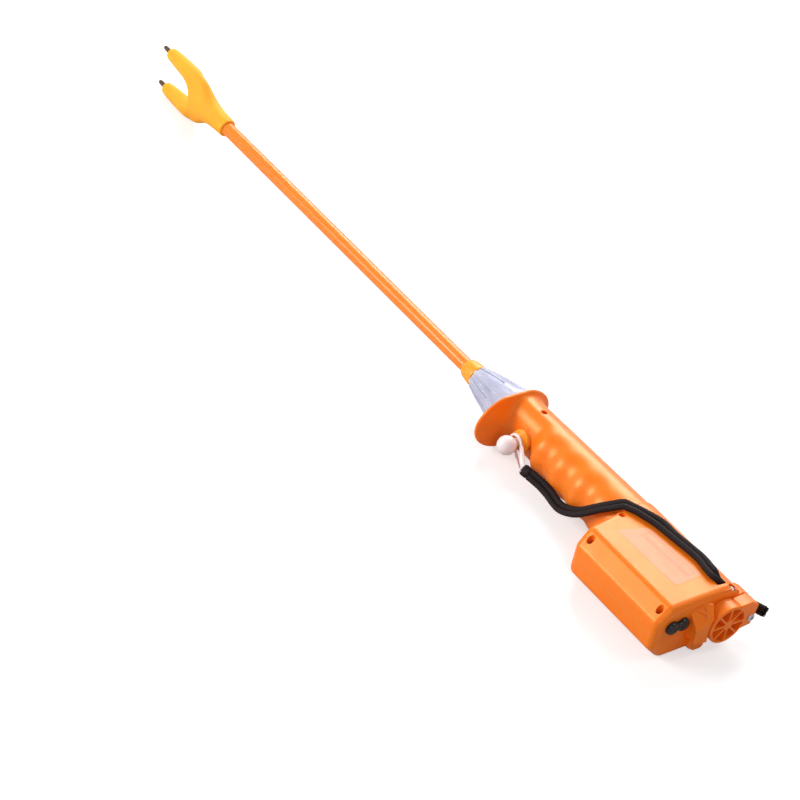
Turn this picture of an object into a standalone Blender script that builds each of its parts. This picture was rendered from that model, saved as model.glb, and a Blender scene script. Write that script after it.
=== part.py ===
"""Battery-powered livestock prod: forked electrodes, a long tube, a lamp, a moulded grip and a housing.

The tool lies on its side, as it would on a bench: its guard and its housing are equally thick.
Sizes are in millimetres and are turned into metres where a shape is made.
Along the tool +X points to the electrodes, +Y to the trigger side, and +Z to the visible half shell.
"""

from math import asin, cos, pi, radians, sin, sqrt

import bmesh
import bpy
from mathutils import Matrix, Vector

MM = 0.001
GAP = 0.3

# Overall reach, measured from the tool axis and from the guard
HALF_THICKNESS = 25.0
TIP_X = 550.3
TAIL_X = -273.5
BACK_Y = -31.2
BELLY_Y = 64.0
FRAME_SHIFT = (-(TIP_X + TAIL_X) / 2, -(BACK_Y + BELLY_Y) / 2, HALF_THICKNESS)

# Tube, collar and lamp cover
TUBE_R = 6.2
TUBE_BORE_R = 4.7
TUBE_REAR_X = -12.0
TUBE_FRONT_X = 462.0
COLLAR_FRONT_X = 63.6
COVER_FRONT_X = 48.6
COVER_FRONT_R = 10.7
COVER_REAR_R = 22.4
COVER_WALL = 1.9
FLUTES = 8
FLUTE_DEPTH = 1.0
FLUTE_REAR_X = 17.0

# Fork
FORK_MOUTH_X = 435.2
FORK_CROTCH_X = 493.0
FORK_END_X = 538.6
PRONG_Z = 17.2
MOUTH_R = 8.9
PIN_R = 2.3
PIN_REAR_X = 519.0
LEAD_R = 0.8
CHANNEL_R = 1.4

# Guard and grip
WALL = 2.6
GUARD_X = -3.6
GUARD_THICKNESS = 2.6
GUARD_Y = 5.8
GUARD_HALF_LENGTH = 37.0
GUARD_HALF_WIDTH = 26.6
NOSE_R = 14.5
NOSE_FRONT_X = 6.0
GRIP_FRONT_R = 21.6
GRIP_TAPER = 0.0145
GRIP_REAR_X = -172.0
FINGER_HOLLOWS = (-67.0, -92.0, -117.0)
FINGER_HALF_PITCH = 12.5
FINGER_DEPTH = 2.7
TRIGGER_HOLLOW_DEPTH = 7.8
TRIGGER_HOLLOW_END_X = -54.0
TRIGGER_HOLLOW_RAMP = 13.0

# Housing
HOUSING_FRONT_X = -149.5
HOUSING_SLANT = 0.14
HOUSING_REAR_X = -260.0
CHAMFER = 12.5

# Trigger
TRIGGER_X = -31.5
BEZEL_R = 9.3
BEZEL_BODY_R = 7.7
BEZEL_FOOT_Y = 10.0
BEZEL_SEAT_Y = 14.4
BEZEL_TOP_Y = 20.2
NECK_R = 3.4
BALL_R = 8.0
BALL_Y = 31.0
TRIGGER_TRAVEL = 2.5
STEM_END_Y = 4.0
SPRING_SEAT_Y = 2.6

# Rear cover, which swings about the screw in its ear
COVER_PIVOT = (-22.6, 0.0)
DISC_R = 17.3
COVER_INNER_X = HOUSING_REAR_X - GAP
COVER_OUTER_X = -271.7
SPOKES = 8

# Sloping shoulder beside the rear cover, and the arrow raised on its ramp
SHOULDER_REAR_X = -270.5
SHOULDER_LOW_Z = -11.0
SWING_ROOM = 0.6
RAMP_POINT = (-257.5, 20.9, 20.6)
RAMP_NORMAL = (-0.633, 0.323, 0.704)
ARROW_TIP = (-268.08, 16.25, 13.21)
ARROW_ALONG = (-0.721, -0.576, -0.385)
ARROW_HEIGHT = 0.8
ARROW_DEPTH = 0.8
ARROW_TAILS = (((-13.4, 4.0), (-4.3, 0.2)), ((-13.7, -4.0), (-4.3, -1.2)))
ARROW_HEAD = ((-8.1, 3.6), (-6.4, 0.6), (-4.7, -2.6), (-3.4, -5.6), (0.0, 0.0))

# Charging inlet and its rubber plug
PLUG_CENTRE = (43.8, 7.0)
PRONG_SPACING = 10.0
LOBE_R = 5.8
LOBE_SPACING = 10.4

# Cells in the grip
CELL_R = 9.2
CELL_LENGTH = 65.0
SLEEVE_R = 11.0
SLEEVE_FRONT_X = -121.0
BOARD_Z = -12.0
BOARD_POSTS = ((-240.0, 47.0), (-240.0, 31.0), (-179.0, 47.0), (-179.0, 31.0))

# Wrist strap
CORD_R = 2.2
CORD_SPACING = 4.7
TIE_R = 1.3
TIE_Y = 21.8
TIE_LOOP_R = 6.6

# Screws of the two half shells: x, y, the height of the head's underside and the reach of the boss
SHELL_SCREWS = (
    (-29.5, -3.2, 13.0, 19.5),
    (-157.8, 20.0, 15.0, 23.5),
    (-167.0, 56.5, 9.0, 15.2),
    (-251.0, 56.5, 9.0, 15.2),
)
BAR_SCREW = (-255.6, -10.0)


def point(x, y, z):
    return Vector((x * MM, y * MM, z * MM))


# Scene and naming helpers


def clear_scene():
    for old in list(bpy.data.objects):
        bpy.data.objects.remove(old, do_unlink=True)


def new_collection(name):
    made = bpy.data.collections.new(name)
    bpy.context.scene.collection.children.link(made)
    return made


clear_scene()
PARTS = new_collection("livestock_prod")
CUTTERS = new_collection("cutters")

FRAME = bpy.data.objects.new("frame_origin", None)
FRAME.location = point(*FRAME_SHIFT)
PARTS.objects.link(FRAME)


def material(name, colour, roughness, metallic=0.0, transmission=0.0):
    made = bpy.data.materials.new(name)
    made.use_nodes = True
    shader = made.node_tree.nodes["Principled BSDF"]
    shader.inputs["Base Color"].default_value = (*colour, 1.0)
    shader.inputs["Roughness"].default_value = roughness
    shader.inputs["Metallic"].default_value = metallic
    shader.inputs["Transmission Weight"].default_value = transmission
    return made


ORANGE = material("orange_abs", (1.0, 0.22, 0.03), 0.35)
AMBER = material("amber_abs", (1.0, 0.42, 0.06), 0.35)
VINYL = material("yellow_vinyl", (0.98, 0.5, 0.04), 0.45)
CLEAR = material("clear_lens", (0.85, 0.85, 0.93), 0.12, transmission=0.7)
BRONZE = material("dark_bronze", (0.16, 0.1, 0.06), 0.35, metallic=1.0)
STEEL = material("screw_steel", (0.75, 0.75, 0.76), 0.25, metallic=1.0)
BRASS = material("contact_brass", (0.8, 0.6, 0.25), 0.3, metallic=1.0)
WHITE = material("white_nylon", (0.9, 0.8, 0.8), 0.4)
RUBBER = material("black_rubber", (0.02, 0.02, 0.02), 0.6)
BRAID = material("black_braid", (0.03, 0.022, 0.022), 0.85)
BOARD = material("board_green", (0.02, 0.2, 0.06), 0.5)
POTTING = material("black_potting", (0.03, 0.03, 0.035), 0.4)
CELL_WRAP = material("cell_wrap", (0.05, 0.25, 0.6), 0.4)
INSULATION = material("lead_insulation", (0.7, 0.05, 0.03), 0.5)
LED_DOME = material("led_dome", (0.9, 0.9, 0.85), 0.1, transmission=0.6)


def add(made, paint=None, parent=None):
    """Puts an object in the part's collection, under the frame or under a parent."""
    PARTS.objects.link(made)
    made.parent = parent or FRAME
    if paint is not None:
        made.data.materials.append(paint)
    return made


def as_cutter(tool):
    """Moves a helper shape out of the part, to be used by a Boolean only."""
    PARTS.objects.unlink(tool)
    CUTTERS.objects.link(tool)
    tool.hide_render = True
    tool.display_type = "WIRE"
    return tool


def combine(target, tool, operation):
    change = target.modifiers.new(tool.name, "BOOLEAN")
    change.operation = operation
    change.object = as_cutter(tool)
    return target


def cut(target, *tools):
    for tool in tools:
        combine(target, tool, "DIFFERENCE")
    return target


def join(target, *tools):
    for tool in tools:
        combine(target, tool, "UNION")
    return target


def soften(target, width, segments=2, angle=40.0):
    bevel = target.modifiers.new("soften", "BEVEL")
    bevel.width = width * MM
    bevel.segments = segments
    bevel.limit_method = "ANGLE"
    bevel.angle_limit = radians(angle)
    return target


def smooth(target, angle=35.0):
    target.data.shade_smooth()
    target.data.set_sharp_from_angle(angle=radians(angle))
    return target


def frozen(source, name):
    """The evaluated shape of an object as a plain mesh in the tool's own frame."""
    bpy.context.view_layer.update()
    evaluated = source.evaluated_get(bpy.context.evaluated_depsgraph_get())
    mesh = bpy.data.meshes.new_from_object(evaluated)
    scratch = bmesh.new()
    scratch.from_mesh(mesh)
    bmesh.ops.remove_doubles(scratch, verts=scratch.verts, dist=0.002 * MM)
    scratch.to_mesh(mesh)
    scratch.free()
    place = FRAME.matrix_world.inverted() @ source.matrix_world
    mesh.transform(place)
    made = bpy.data.objects.new(name, mesh)
    return add(made)


# Shape helpers


def from_bmesh(name, scratch, paint=None, parent=None):
    mesh = bpy.data.meshes.new(name)
    scratch.to_mesh(mesh)
    scratch.free()
    return add(bpy.data.objects.new(name, mesh), paint, parent)


def box(name, low, high, paint=None, parent=None):
    scratch = bmesh.new()
    bmesh.ops.create_cube(scratch, size=1.0)
    size = [b - a for a, b in zip(low, high)]
    bmesh.ops.scale(scratch, vec=point(*size), verts=scratch.verts)
    middle = [(a + b) / 2 for a, b in zip(low, high)]
    bmesh.ops.translate(scratch, vec=point(*middle), verts=scratch.verts)
    return from_bmesh(name, scratch, paint, parent)


TURN_TO = {
    "X": Matrix.Rotation(pi / 2, 4, "Y"),
    "Y": Matrix.Rotation(-pi / 2, 4, "X"),
    "Z": Matrix.Identity(4),
}


def rod(name, axis, centre, radius, low, high, sides=24, paint=None, tip_radius=None):
    """A cylinder or cone along X, Y or Z. low and high are its ends along that axis."""
    scratch = bmesh.new()
    bmesh.ops.create_cone(
        scratch,
        cap_ends=True,
        segments=sides,
        radius1=radius * MM,
        radius2=(radius if tip_radius is None else tip_radius) * MM,
        depth=(high - low) * MM,
    )
    middle = list(centre)
    middle["XYZ".index(axis)] = (low + high) / 2
    bmesh.ops.transform(scratch, matrix=TURN_TO[axis], verts=scratch.verts)
    bmesh.ops.translate(scratch, vec=point(*middle), verts=scratch.verts)
    return from_bmesh(name, scratch, paint)


def turned(name, axis, place, profile, steps, paint=None, parent=None, ring=False):
    """A turned piece. profile lists (radius, height) from its top down its outer side.

    height runs along the axis from place. A ring's profile goes back up its bore.
    """
    scratch = bmesh.new()
    corners = [scratch.verts.new(point(r, 0, h)) for r, h in profile]
    for a, b in zip(corners, corners[1:]):
        scratch.edges.new((a, b))
    if ring:
        scratch.edges.new((corners[-1], corners[0]))
    made = from_bmesh(name, scratch, paint, parent)
    made.matrix_local = Matrix.Translation(point(*place)) @ TURN_TO[axis]
    spin = made.modifiers.new("turn", "SCREW")
    spin.steps = steps
    spin.render_steps = steps
    spin.use_merge_vertices = True
    spin.merge_threshold = 0.00001
    spin.use_smooth_shade = True
    return made


def loft(name, rings, paint=None, caps=True):
    """Skins rings of points that all have the same count. The last ring is ahead of the first."""
    scratch = bmesh.new()
    rows = [[scratch.verts.new(p) for p in ring] for ring in rings]
    for row, following in zip(rows, rows[1:]):
        for i in range(len(row)):
            j = (i + 1) % len(row)
            scratch.faces.new((row[i], row[j], following[j], following[i]))
    if caps:
        scratch.faces.new(list(reversed(rows[0])))
        scratch.faces.new(rows[-1])
    bmesh.ops.recalc_face_normals(scratch, faces=scratch.faces)
    return from_bmesh(name, scratch, paint)


def prism(name, outline, low_x, high_x, paint=None):
    """An outline of (y, z) points, extruded along the tool axis."""
    rings = [[point(x, y, z) for y, z in outline] for x in (low_x, high_x)]
    return loft(name, rings, paint)


def arc(centre, radius, start, end, count):
    """count points on an arc of the cross-section, with angles in degrees from +Y towards +Z."""
    angles = [radians(start + (end - start) * i / (count - 1)) for i in range(count)]
    return [(centre[0] + radius * cos(a), centre[1] + radius * sin(a)) for a in angles]


def through(points, per_span):
    """Points on a smooth curve through the given ones, by Catmull-Rom spans."""
    given = [Vector(p) for p in points]
    first = given[0] * 2 - given[1]
    last = given[-1] * 2 - given[-2]
    knots = [first, *given, last]
    route = []
    for i in range(1, len(knots) - 2):
        a, b, c, d = knots[i - 1 : i + 3]
        for step in range(per_span):
            t = step / per_span
            route.append(
                0.5
                * (
                    2 * b
                    + (c - a) * t
                    + (2 * a - 5 * b + 4 * c - d) * t**2
                    + (3 * b - a - 3 * c + d) * t**3
                )
            )
    route.append(given[-1])
    return route


def wire(name, route, radius, paint=None, closed=False, sides=2):
    """A round wire or cord along a route in millimetres."""
    curve = bpy.data.curves.new(name, "CURVE")
    curve.dimensions = "3D"
    curve.bevel_depth = radius * MM
    curve.bevel_resolution = sides
    curve.use_fill_caps = not closed
    spline = curve.splines.new("POLY")
    spline.points.add(len(route) - 1)
    for knot, place in zip(spline.points, route):
        knot.co = (*(Vector(place) * MM), 1.0)
    spline.use_cyclic_u = closed
    return add(bpy.data.objects.new(name, curve), paint)


def wire_mesh(name, route, radius, sides=2):
    """The same wire as a welded mesh, for use in a Boolean."""
    made = wire(name + "_curve", route, radius, sides=sides)
    welded = frozen(made, name)
    bpy.data.objects.remove(made)
    return welded


# Outlines of the moulding


def ease(t):
    """Runs smoothly from 0 to 1."""
    t = min(max(t, 0.0), 1.0)
    return t * t * (3 - 2 * t)


def grip_radius(x, angle):
    """Radius of the grip: round, slightly tapered, with hollows for the fingers on the trigger side."""
    facing = max(cos(angle), 0.0) ** 1.2
    hollow = TRIGGER_HOLLOW_DEPTH * ease((x - TRIGGER_HOLLOW_END_X) / TRIGGER_HOLLOW_RAMP)
    for middle in FINGER_HOLLOWS:
        across = (x - middle) / FINGER_HALF_PITCH
        if abs(across) < 1:
            hollow += FINGER_DEPTH * cos(across * pi / 2) ** 2
    return GRIP_FRONT_R - GRIP_TAPER * x - hollow * facing


def guard_radius(angle):
    """Distance from the tool axis to the rim of the oval guard, with a flat towards each shell face."""
    across, up = cos(angle), sin(angle)
    a = (across / GUARD_HALF_LENGTH) ** 2 + (up / GUARD_HALF_WIDTH) ** 2
    b = -2 * across * GUARD_Y / GUARD_HALF_LENGTH**2
    c = (GUARD_Y / GUARD_HALF_LENGTH) ** 2 - 1
    rim = (-b + sqrt(b * b - 4 * a * c)) / (2 * a)
    if abs(rim * up) > HALF_THICKNESS:
        rim = HALF_THICKNESS / abs(up)
    return rim


def section_ring(x, radius_at, count):
    angles = [2 * pi * (i + 0.5) / count for i in range(count)]
    return [point(x, radius_at(a) * cos(a), radius_at(a) * sin(a)) for a in angles]


def housing_outline(inset):
    """Across the housing: a round back, two flat faces and a belly with chamfered corners."""
    face = HALF_THICKNESS - inset
    corner = inset * (sqrt(2) - 1)
    back = arc((0, 0), face, 90, 270, 17)
    belly = [
        (BELLY_Y - CHAMFER - corner, -face),
        (BELLY_Y - inset, -(HALF_THICKNESS - CHAMFER - corner)),
        (BELLY_Y - inset, HALF_THICKNESS - CHAMFER - corner),
        (BELLY_Y - CHAMFER - corner, face),
    ]
    return back + belly


def housing_block(name, inset, rear_inset):
    """The housing's prism. Its front wall leans back towards the belly."""
    outline = housing_outline(inset)
    front = [point(HOUSING_FRONT_X - inset - HOUSING_SLANT * y, y, z) for y, z in outline]
    rear = [point(HOUSING_REAR_X + rear_inset, y, z) for y, z in outline]
    return loft(name, [rear, front])


# The moulding that both half shells are made from


def grip_and_guard():
    """One skin from inside the housing, along the grip, over the guard's rim and onto the nose."""
    count = 28

    def blend(share):
        return lambda a: share * guard_radius(a) + (1 - share) * grip_radius(GUARD_X - 12, a)

    rings = []
    x = GRIP_REAR_X
    while x < -16.0:
        rings.append(section_ring(x, lambda a, x=x: grip_radius(x, a), count))
        x += 4.6 if x > -132.0 else 10.0
    rear_face = GUARD_X - GUARD_THICKNESS
    for back, share in ((7.6, 0.03), (5.0, 0.1), (2.9, 0.24), (1.3, 0.5), (0.4, 0.82)):
        rings.append(section_ring(rear_face - back, blend(share), count))
    for x, inward in ((rear_face, 0.9), (rear_face + 0.7, 0.0), (GUARD_X - 0.7, 0.0), (GUARD_X, 0.7)):
        rings.append(section_ring(x, lambda a, inward=inward: guard_radius(a) - inward, count))
    rings.append(section_ring(GUARD_X, lambda a: NOSE_R, count))
    rings.append(section_ring(NOSE_FRONT_X, lambda a: NOSE_R, count))
    return loft("grip_and_guard", rings)


def grip_hollow():
    """The space inside the grip, from behind the nose into the housing."""
    rings = []
    for x in (-178, -131, -117, -104.5, -92, -79.5, -67, -56, -50, -45, -41, -17):
        rings.append(section_ring(x, lambda a, x=x: grip_radius(x, a) - WALL, 18))
    return loft("grip_hollow", rings)


def ramp_axes():
    """Directions along the arrow, across it and out of the ramp."""
    out = Vector(RAMP_NORMAL).normalized()
    along = Vector(ARROW_ALONG).normalized()
    return along, out.cross(along), out


def rear_shoulder():
    """Raised shoulder beside the round cover. Its edge follows the cover's swing and its top is a ramp."""
    swing = DISC_R - COVER_PIVOT[0] + SWING_ROOM
    lowest = asin(SHOULDER_LOW_Z / swing) * 180 / pi
    outline = arc(COVER_PIVOT, swing, lowest, 28, 7)
    outline += [(26.0, 20.0), (31.5, 13.0), (31.5, -7.5), (28.5, SHOULDER_LOW_Z)]
    shoulder = prism("rear_shoulder", outline, SHOULDER_REAR_X, HOUSING_REAR_X + 5.0)
    above = box("above_ramp", (-40, -40, 0), (40, 40, 40))
    turn = Matrix(ramp_axes()).transposed().to_4x4()
    above.matrix_local = Matrix.Translation(point(*RAMP_POINT)) @ turn
    cut(shoulder, above)
    return soften(shoulder, 0.9, 1, 30.0)


def on_ramp(name, outline, low, high):
    """A shape raised on the ramp, from points along and across the arrow."""
    along, across, out = ramp_axes()
    tip = Vector(ARROW_TIP)
    rings = []
    for height in (low, high):
        ring = [(tip + along * a + across * b + out * height) * MM for a, b in outline]
        rings.append(ring)
    return loft(name, rings)


def arrow():
    """Two thin tails that widen into a head, which points to the round cover."""
    pieces = [on_ramp("arrow_head", ARROW_HEAD, -ARROW_DEPTH, ARROW_HEIGHT)]
    for number, (start, end) in enumerate(ARROW_TAILS):
        a, b = Vector(start), Vector(end)
        side = (b - a).normalized()
        side = Vector((-side[1], side[0]))
        outline = [a + side * 0.35, a - side * 0.35, b - side * 1.5, b + side * 1.5]
        lower = 0.06 * (number + 1)
        pieces.append(on_ramp(f"arrow_tail_{number}", outline, lower - ARROW_DEPTH, ARROW_HEIGHT - lower))
    return pieces


def ear_outline(inset=0.0):
    """Outline of the ear block beside the round cover."""
    return [
        (-8.0, 15.8 - inset),
        (-21.0, 15.8 - inset),
        (-28.0 + inset, 11.0),
        (-26.6 + inset, 2.0),
        (-24.8 + inset, -7.8 + inset),
        (-8.0, -9.6 + inset),
    ]


def rear_foot():
    """Small rounded foot at the lower rear edge."""
    outline = arc((16.4, -19.6), 3.6, 180, 270, 4)
    outline += [(22.0, -23.2), (29.0, -18.3), (29.0, -10.0), (14.9, -10.0)]
    return soften(prism("rear_foot", outline, -265.0, HOUSING_REAR_X + 3.0), 0.8, 1)


def strap_passage():
    """Slanted slot for the strap, from the shell's face out through its round back."""
    slot = box("strap_passage", (-5.9, -26.0, -2.8), (5.9, 26.0, 2.8))
    slot.location = point(-246.4, -13.5, 13.4)
    slot.rotation_euler = (radians(45), 0, 0)
    return slot


def moulding():
    """The whole plastic body in one piece, before it is split into two half shells."""
    body = grip_and_guard()
    block = soften(housing_block("housing_block", 0.0, 0.0), 6.0, 3, 60.0)
    soften(block, 3.0, 2, 35.0)
    join(body, block, rear_shoulder(), rear_foot(), *arrow())
    join(body, prism("ear_block", ear_outline(), HOUSING_REAR_X, -248.0))
    join(body, rod("trigger_boss", "Y", (TRIGGER_X, 0, 0), BEZEL_R + 1.2, 4.0, BEZEL_SEAT_Y - GAP, 32))
    cut(body, grip_hollow(), housing_block("housing_hollow", WALL, WALL + 0.8))
    whole = frozen(body, "moulding")
    for solid in [body, *CUTTERS.objects]:
        bpy.data.objects.remove(solid)

    # Solid corner that carries the strap bar and the cover's pivot screw
    corner = [(0, 12), (0, 24), (-8, 23), (-16, 18.6), (-23, 8), (-24, -7), (-16, -7), (-12.4, 0), (-9, 9)]
    join(whole, prism("strap_corner", corner, -258, -236))
    for number, (x, y, head, reach) in enumerate(SHELL_SCREWS):
        join(whole, rod(f"screw_boss_{number}", "Z", (x, y, 0), 3.4, -reach, reach, 16))
    for number, place in enumerate(BOARD_POSTS):
        join(whole, rod(f"board_post_{number}", "Z", (*place, 0), 3.0, -23.5, BOARD_Z - GAP, 12))
    join(whole, rod("tube_clamp", "X", (0, 0, 0), 9.0, -17.4, NOSE_FRONT_X - 1.0, 24))
    seat_low = (TRIGGER_X - 5, SPRING_SEAT_Y - 0.9, -20.0)
    join(whole, box("spring_seat", seat_low, (TRIGGER_X + 5, SPRING_SEAT_Y, 20.0)))
    cut(whole, rod("stem_way", "Y", (TRIGGER_X, 0, 0), 2.5, SPRING_SEAT_Y - 2.0, SPRING_SEAT_Y + 1.0, 12))
    cut(whole, rod("tube_seat", "X", (0, 0, 0), TUBE_R + GAP, TUBE_REAR_X - GAP, 20.0, 32))
    cut(whole, rod("lead_way", "X", (0, 0, 0), 11.0, -18.2, TUBE_REAR_X - 0.1, 16, tip_radius=5.0))
    cut(whole, rod("trigger_hole", "Y", (TRIGGER_X, 0, 0), BEZEL_BODY_R + GAP, SPRING_SEAT_Y, 22.0, 32))
    cut(whole, rod("bezel_seat", "Y", (TRIGGER_X, 0, 0), BEZEL_R + GAP, BEZEL_SEAT_Y - GAP, 24.0, 32))
    room_top = BEZEL_FOOT_Y + 1.6
    cut(whole, rod("bezel_foot_room", "Y", (TRIGGER_X, 0, 0), BEZEL_R + GAP, SPRING_SEAT_Y, room_top, 32))
    cut(whole, rod("hatch_hole", "X", (0, 0, 0), CELL_R + 0.6, -262.0, -252.0, 28))
    cut(whole, rod("pivot_hole", "X", (0, *COVER_PIVOT), 1.2, -261.0, -250.0, 12))
    cut(whole, prism("socket_window", stadium(PLUG_CENTRE, 3.6, PRONG_SPACING / 2), -262.0, -255.0))
    cut(whole, strap_passage())
    return whole


def stadium(centre, radius, half_run, count=8):
    """Two half circles joined by straight runs, long across the housing."""
    right = arc((centre[0] + half_run, centre[1]), radius, -90, 90, count)
    left = arc((centre[0] - half_run, centre[1]), radius, 90, 270, count)
    return right + left


def half_shell(whole, name, upper):
    side = 1 if upper else -1
    shell = bpy.data.objects.new(name, whole.data.copy())
    add(shell, ORANGE)
    far = 60.0
    low, high = sorted((-side * far, side * GAP / 2))
    cut(shell, box(name + "_split", (-400, -200, low), (200, 200, high)))
    for number, (x, y, head, _) in enumerate(SHELL_SCREWS):
        place = (x, y, 0)
        if upper:
            cut(shell, rod(f"shank_way_{number}", "Z", place, 1.9, -1.0, 30.0, 10))
            cut(shell, rod(f"head_well_{number}", "Z", place, 2.9, head, 30.0, 16))
        else:
            cut(shell, rod(f"pilot_{number}", "Z", place, 1.7, -12.6, 1.0, 10))
    if upper:
        x, y = BAR_SCREW
        cut(shell, rod("bar_screw_way", "Z", (x, y, 0), 1.4, 12.5, 30.0, 10))
        cut(shell, rod("bar_screw_seat", "Z", (x, y, 0), 3.0, 19.2, 30.0, 16))
    return smooth(shell)


def merge_flat_facets(mesh):
    """Dissolves edges between facets that lie in one plane."""
    scratch = bmesh.new()
    scratch.from_mesh(mesh)
    bmesh.ops.dissolve_limit(scratch, angle_limit=radians(0.8), verts=scratch.verts, edges=scratch.edges)
    scratch.to_mesh(mesh)
    scratch.free()


def build_shells():
    whole = frozen(moulding(), "moulding_done")
    merge_flat_facets(whole.data)
    for solid in [o for o in bpy.data.objects if o.name == "moulding" or o in list(CUTTERS.objects)]:
        bpy.data.objects.remove(solid)
    half_shell(whole, "shell_upper", True)
    half_shell(whole, "shell_lower", False)
    bpy.data.objects.remove(whole)


def screw_profile(head_r, head_h, shank_r, length):
    """Round-headed screw, head up, with its underside at height 0."""
    return [
        (0, head_h),
        (head_r * 0.62, head_h * 0.86),
        (head_r, head_h * 0.3),
        (head_r, 0),
        (shank_r, 0),
        (shank_r, -length + shank_r),
        (0, -length),
    ]


def build_shell_screws():
    for number, (x, y, head, _) in enumerate(SHELL_SCREWS):
        profile = screw_profile(2.5, 1.8, 1.4, head + 12.0)
        turned(f"shell_screw_{number + 1}", "Z", (x, y, head + GAP), profile, 10, STEEL)


def build_bar_screw():
    x, y = BAR_SCREW
    turned("strap_bar_screw", "Z", (x, y, 19.2 + GAP), screw_profile(2.6, 1.6, 1.1, 6.0), 10, STEEL)


# Tube, fork and electrodes


def build_tube():
    profile = [
        (TUBE_BORE_R, TUBE_FRONT_X),
        (TUBE_R, TUBE_FRONT_X),
        (TUBE_R, TUBE_REAR_X),
        (TUBE_BORE_R, TUBE_REAR_X),
    ]
    turned("shaft_tube", "X", (0, 0, 0), profile, 24, ORANGE, ring=True)


def build_collar():
    """Barrel-shaped nut that holds the lamp cover against the guard."""
    bore = TUBE_R + GAP
    profile = [
        (bore, COLLAR_FRONT_X),
        (7.1, COLLAR_FRONT_X),
        (8.1, COLLAR_FRONT_X - 1.2),
        (8.9, COLLAR_FRONT_X - 3.6),
        (9.6, COLLAR_FRONT_X - 9.0),
        (9.9, COVER_FRONT_X + 0.9),
        (9.6, COVER_FRONT_X + GAP),
        (bore, COVER_FRONT_X + GAP),
    ]
    turned("shaft_collar", "X", (0, 0, 0), profile, 18, AMBER, ring=True)


def cover_radius(x):
    share = (COVER_FRONT_X - x) / (COVER_FRONT_X - GUARD_X)
    return COVER_FRONT_R + (COVER_REAR_R - COVER_FRONT_R) * share**0.85


def build_lamp_cover():
    """Clear cone with flat flutes that run out before its rear rim."""
    period = 360.0 / FLUTES
    steps = ((0.0, 0), (9.0, 0), (18.0, 0), (19.6, 1), (31.5, 1), (43.4, 1))
    pattern = [(radians(k * period + a), low) for k in range(FLUTES) for a, low in steps]

    def ring(x, depth, wall=0.0):
        outer = cover_radius(x) - wall
        places = [(outer - depth * low, a) for a, low in pattern]
        return [point(x, radius * cos(a), radius * sin(a)) for radius, a in places]

    rear = GUARD_X + GAP
    inner_front = COVER_FRONT_X - 2.2
    bore = TUBE_R + GAP
    rings = [ring(x, 0.0, COVER_WALL) for x in (inner_front, rear)]
    rings += [ring(x, 0.0) for x in (rear, FLUTE_REAR_X - 1.4)]
    rings += [ring(x, FLUTE_DEPTH) for x in (FLUTE_REAR_X, 32.0, COVER_FRONT_X)]
    rings.append([point(COVER_FRONT_X, bore * cos(a), bore * sin(a)) for a, low in pattern])
    rings.append([point(inner_front, bore * cos(a), bore * sin(a)) for a, low in pattern])
    rings.append(rings[0])
    scratch = bmesh.new()
    rows = [[scratch.verts.new(p) for p in ring_points] for ring_points in rings]
    for row, following in zip(rows, rows[1:]):
        for i in range(len(row)):
            j = (i + 1) % len(row)
            scratch.faces.new((row[i], following[i], following[j], row[j]))
    bmesh.ops.remove_doubles(scratch, verts=scratch.verts, dist=0.001 * MM)
    bmesh.ops.recalc_face_normals(scratch, faces=scratch.faces)
    smooth(from_bmesh("lamp_cover", scratch, CLEAR), 30.0)


def build_lamp():
    """Ring board on the nose of the grip, with four LEDs round the tube."""
    face = NOSE_FRONT_X + GAP
    profile = [(TUBE_R + 0.6, 1.6), (17.0, 1.6), (17.0, 0.0), (TUBE_R + 0.6, 0.0)]
    turned("lamp_board", "X", (face, 0, 0), profile, 20, BOARD, ring=True)
    dome = [(0, 7.6), (1.4, 7.2), (2.2, 6.2), (2.5, 5.0), (2.5, 1.0), (2.9, 1.0), (2.9, 0.0), (0, 0.0)]
    for number in range(4):
        angle = radians(45 + 90 * number)
        place = (face + 1.6 + GAP, 12.2 * cos(angle), 12.2 * sin(angle))
        turned(f"lamp_led_{number + 1}", "X", place, dome, 10, LED_DOME)


def prong_ring(x, z, radius, around):
    return [point(x, radius * cos(a), z + radius * sin(a)) for a in around]


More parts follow.
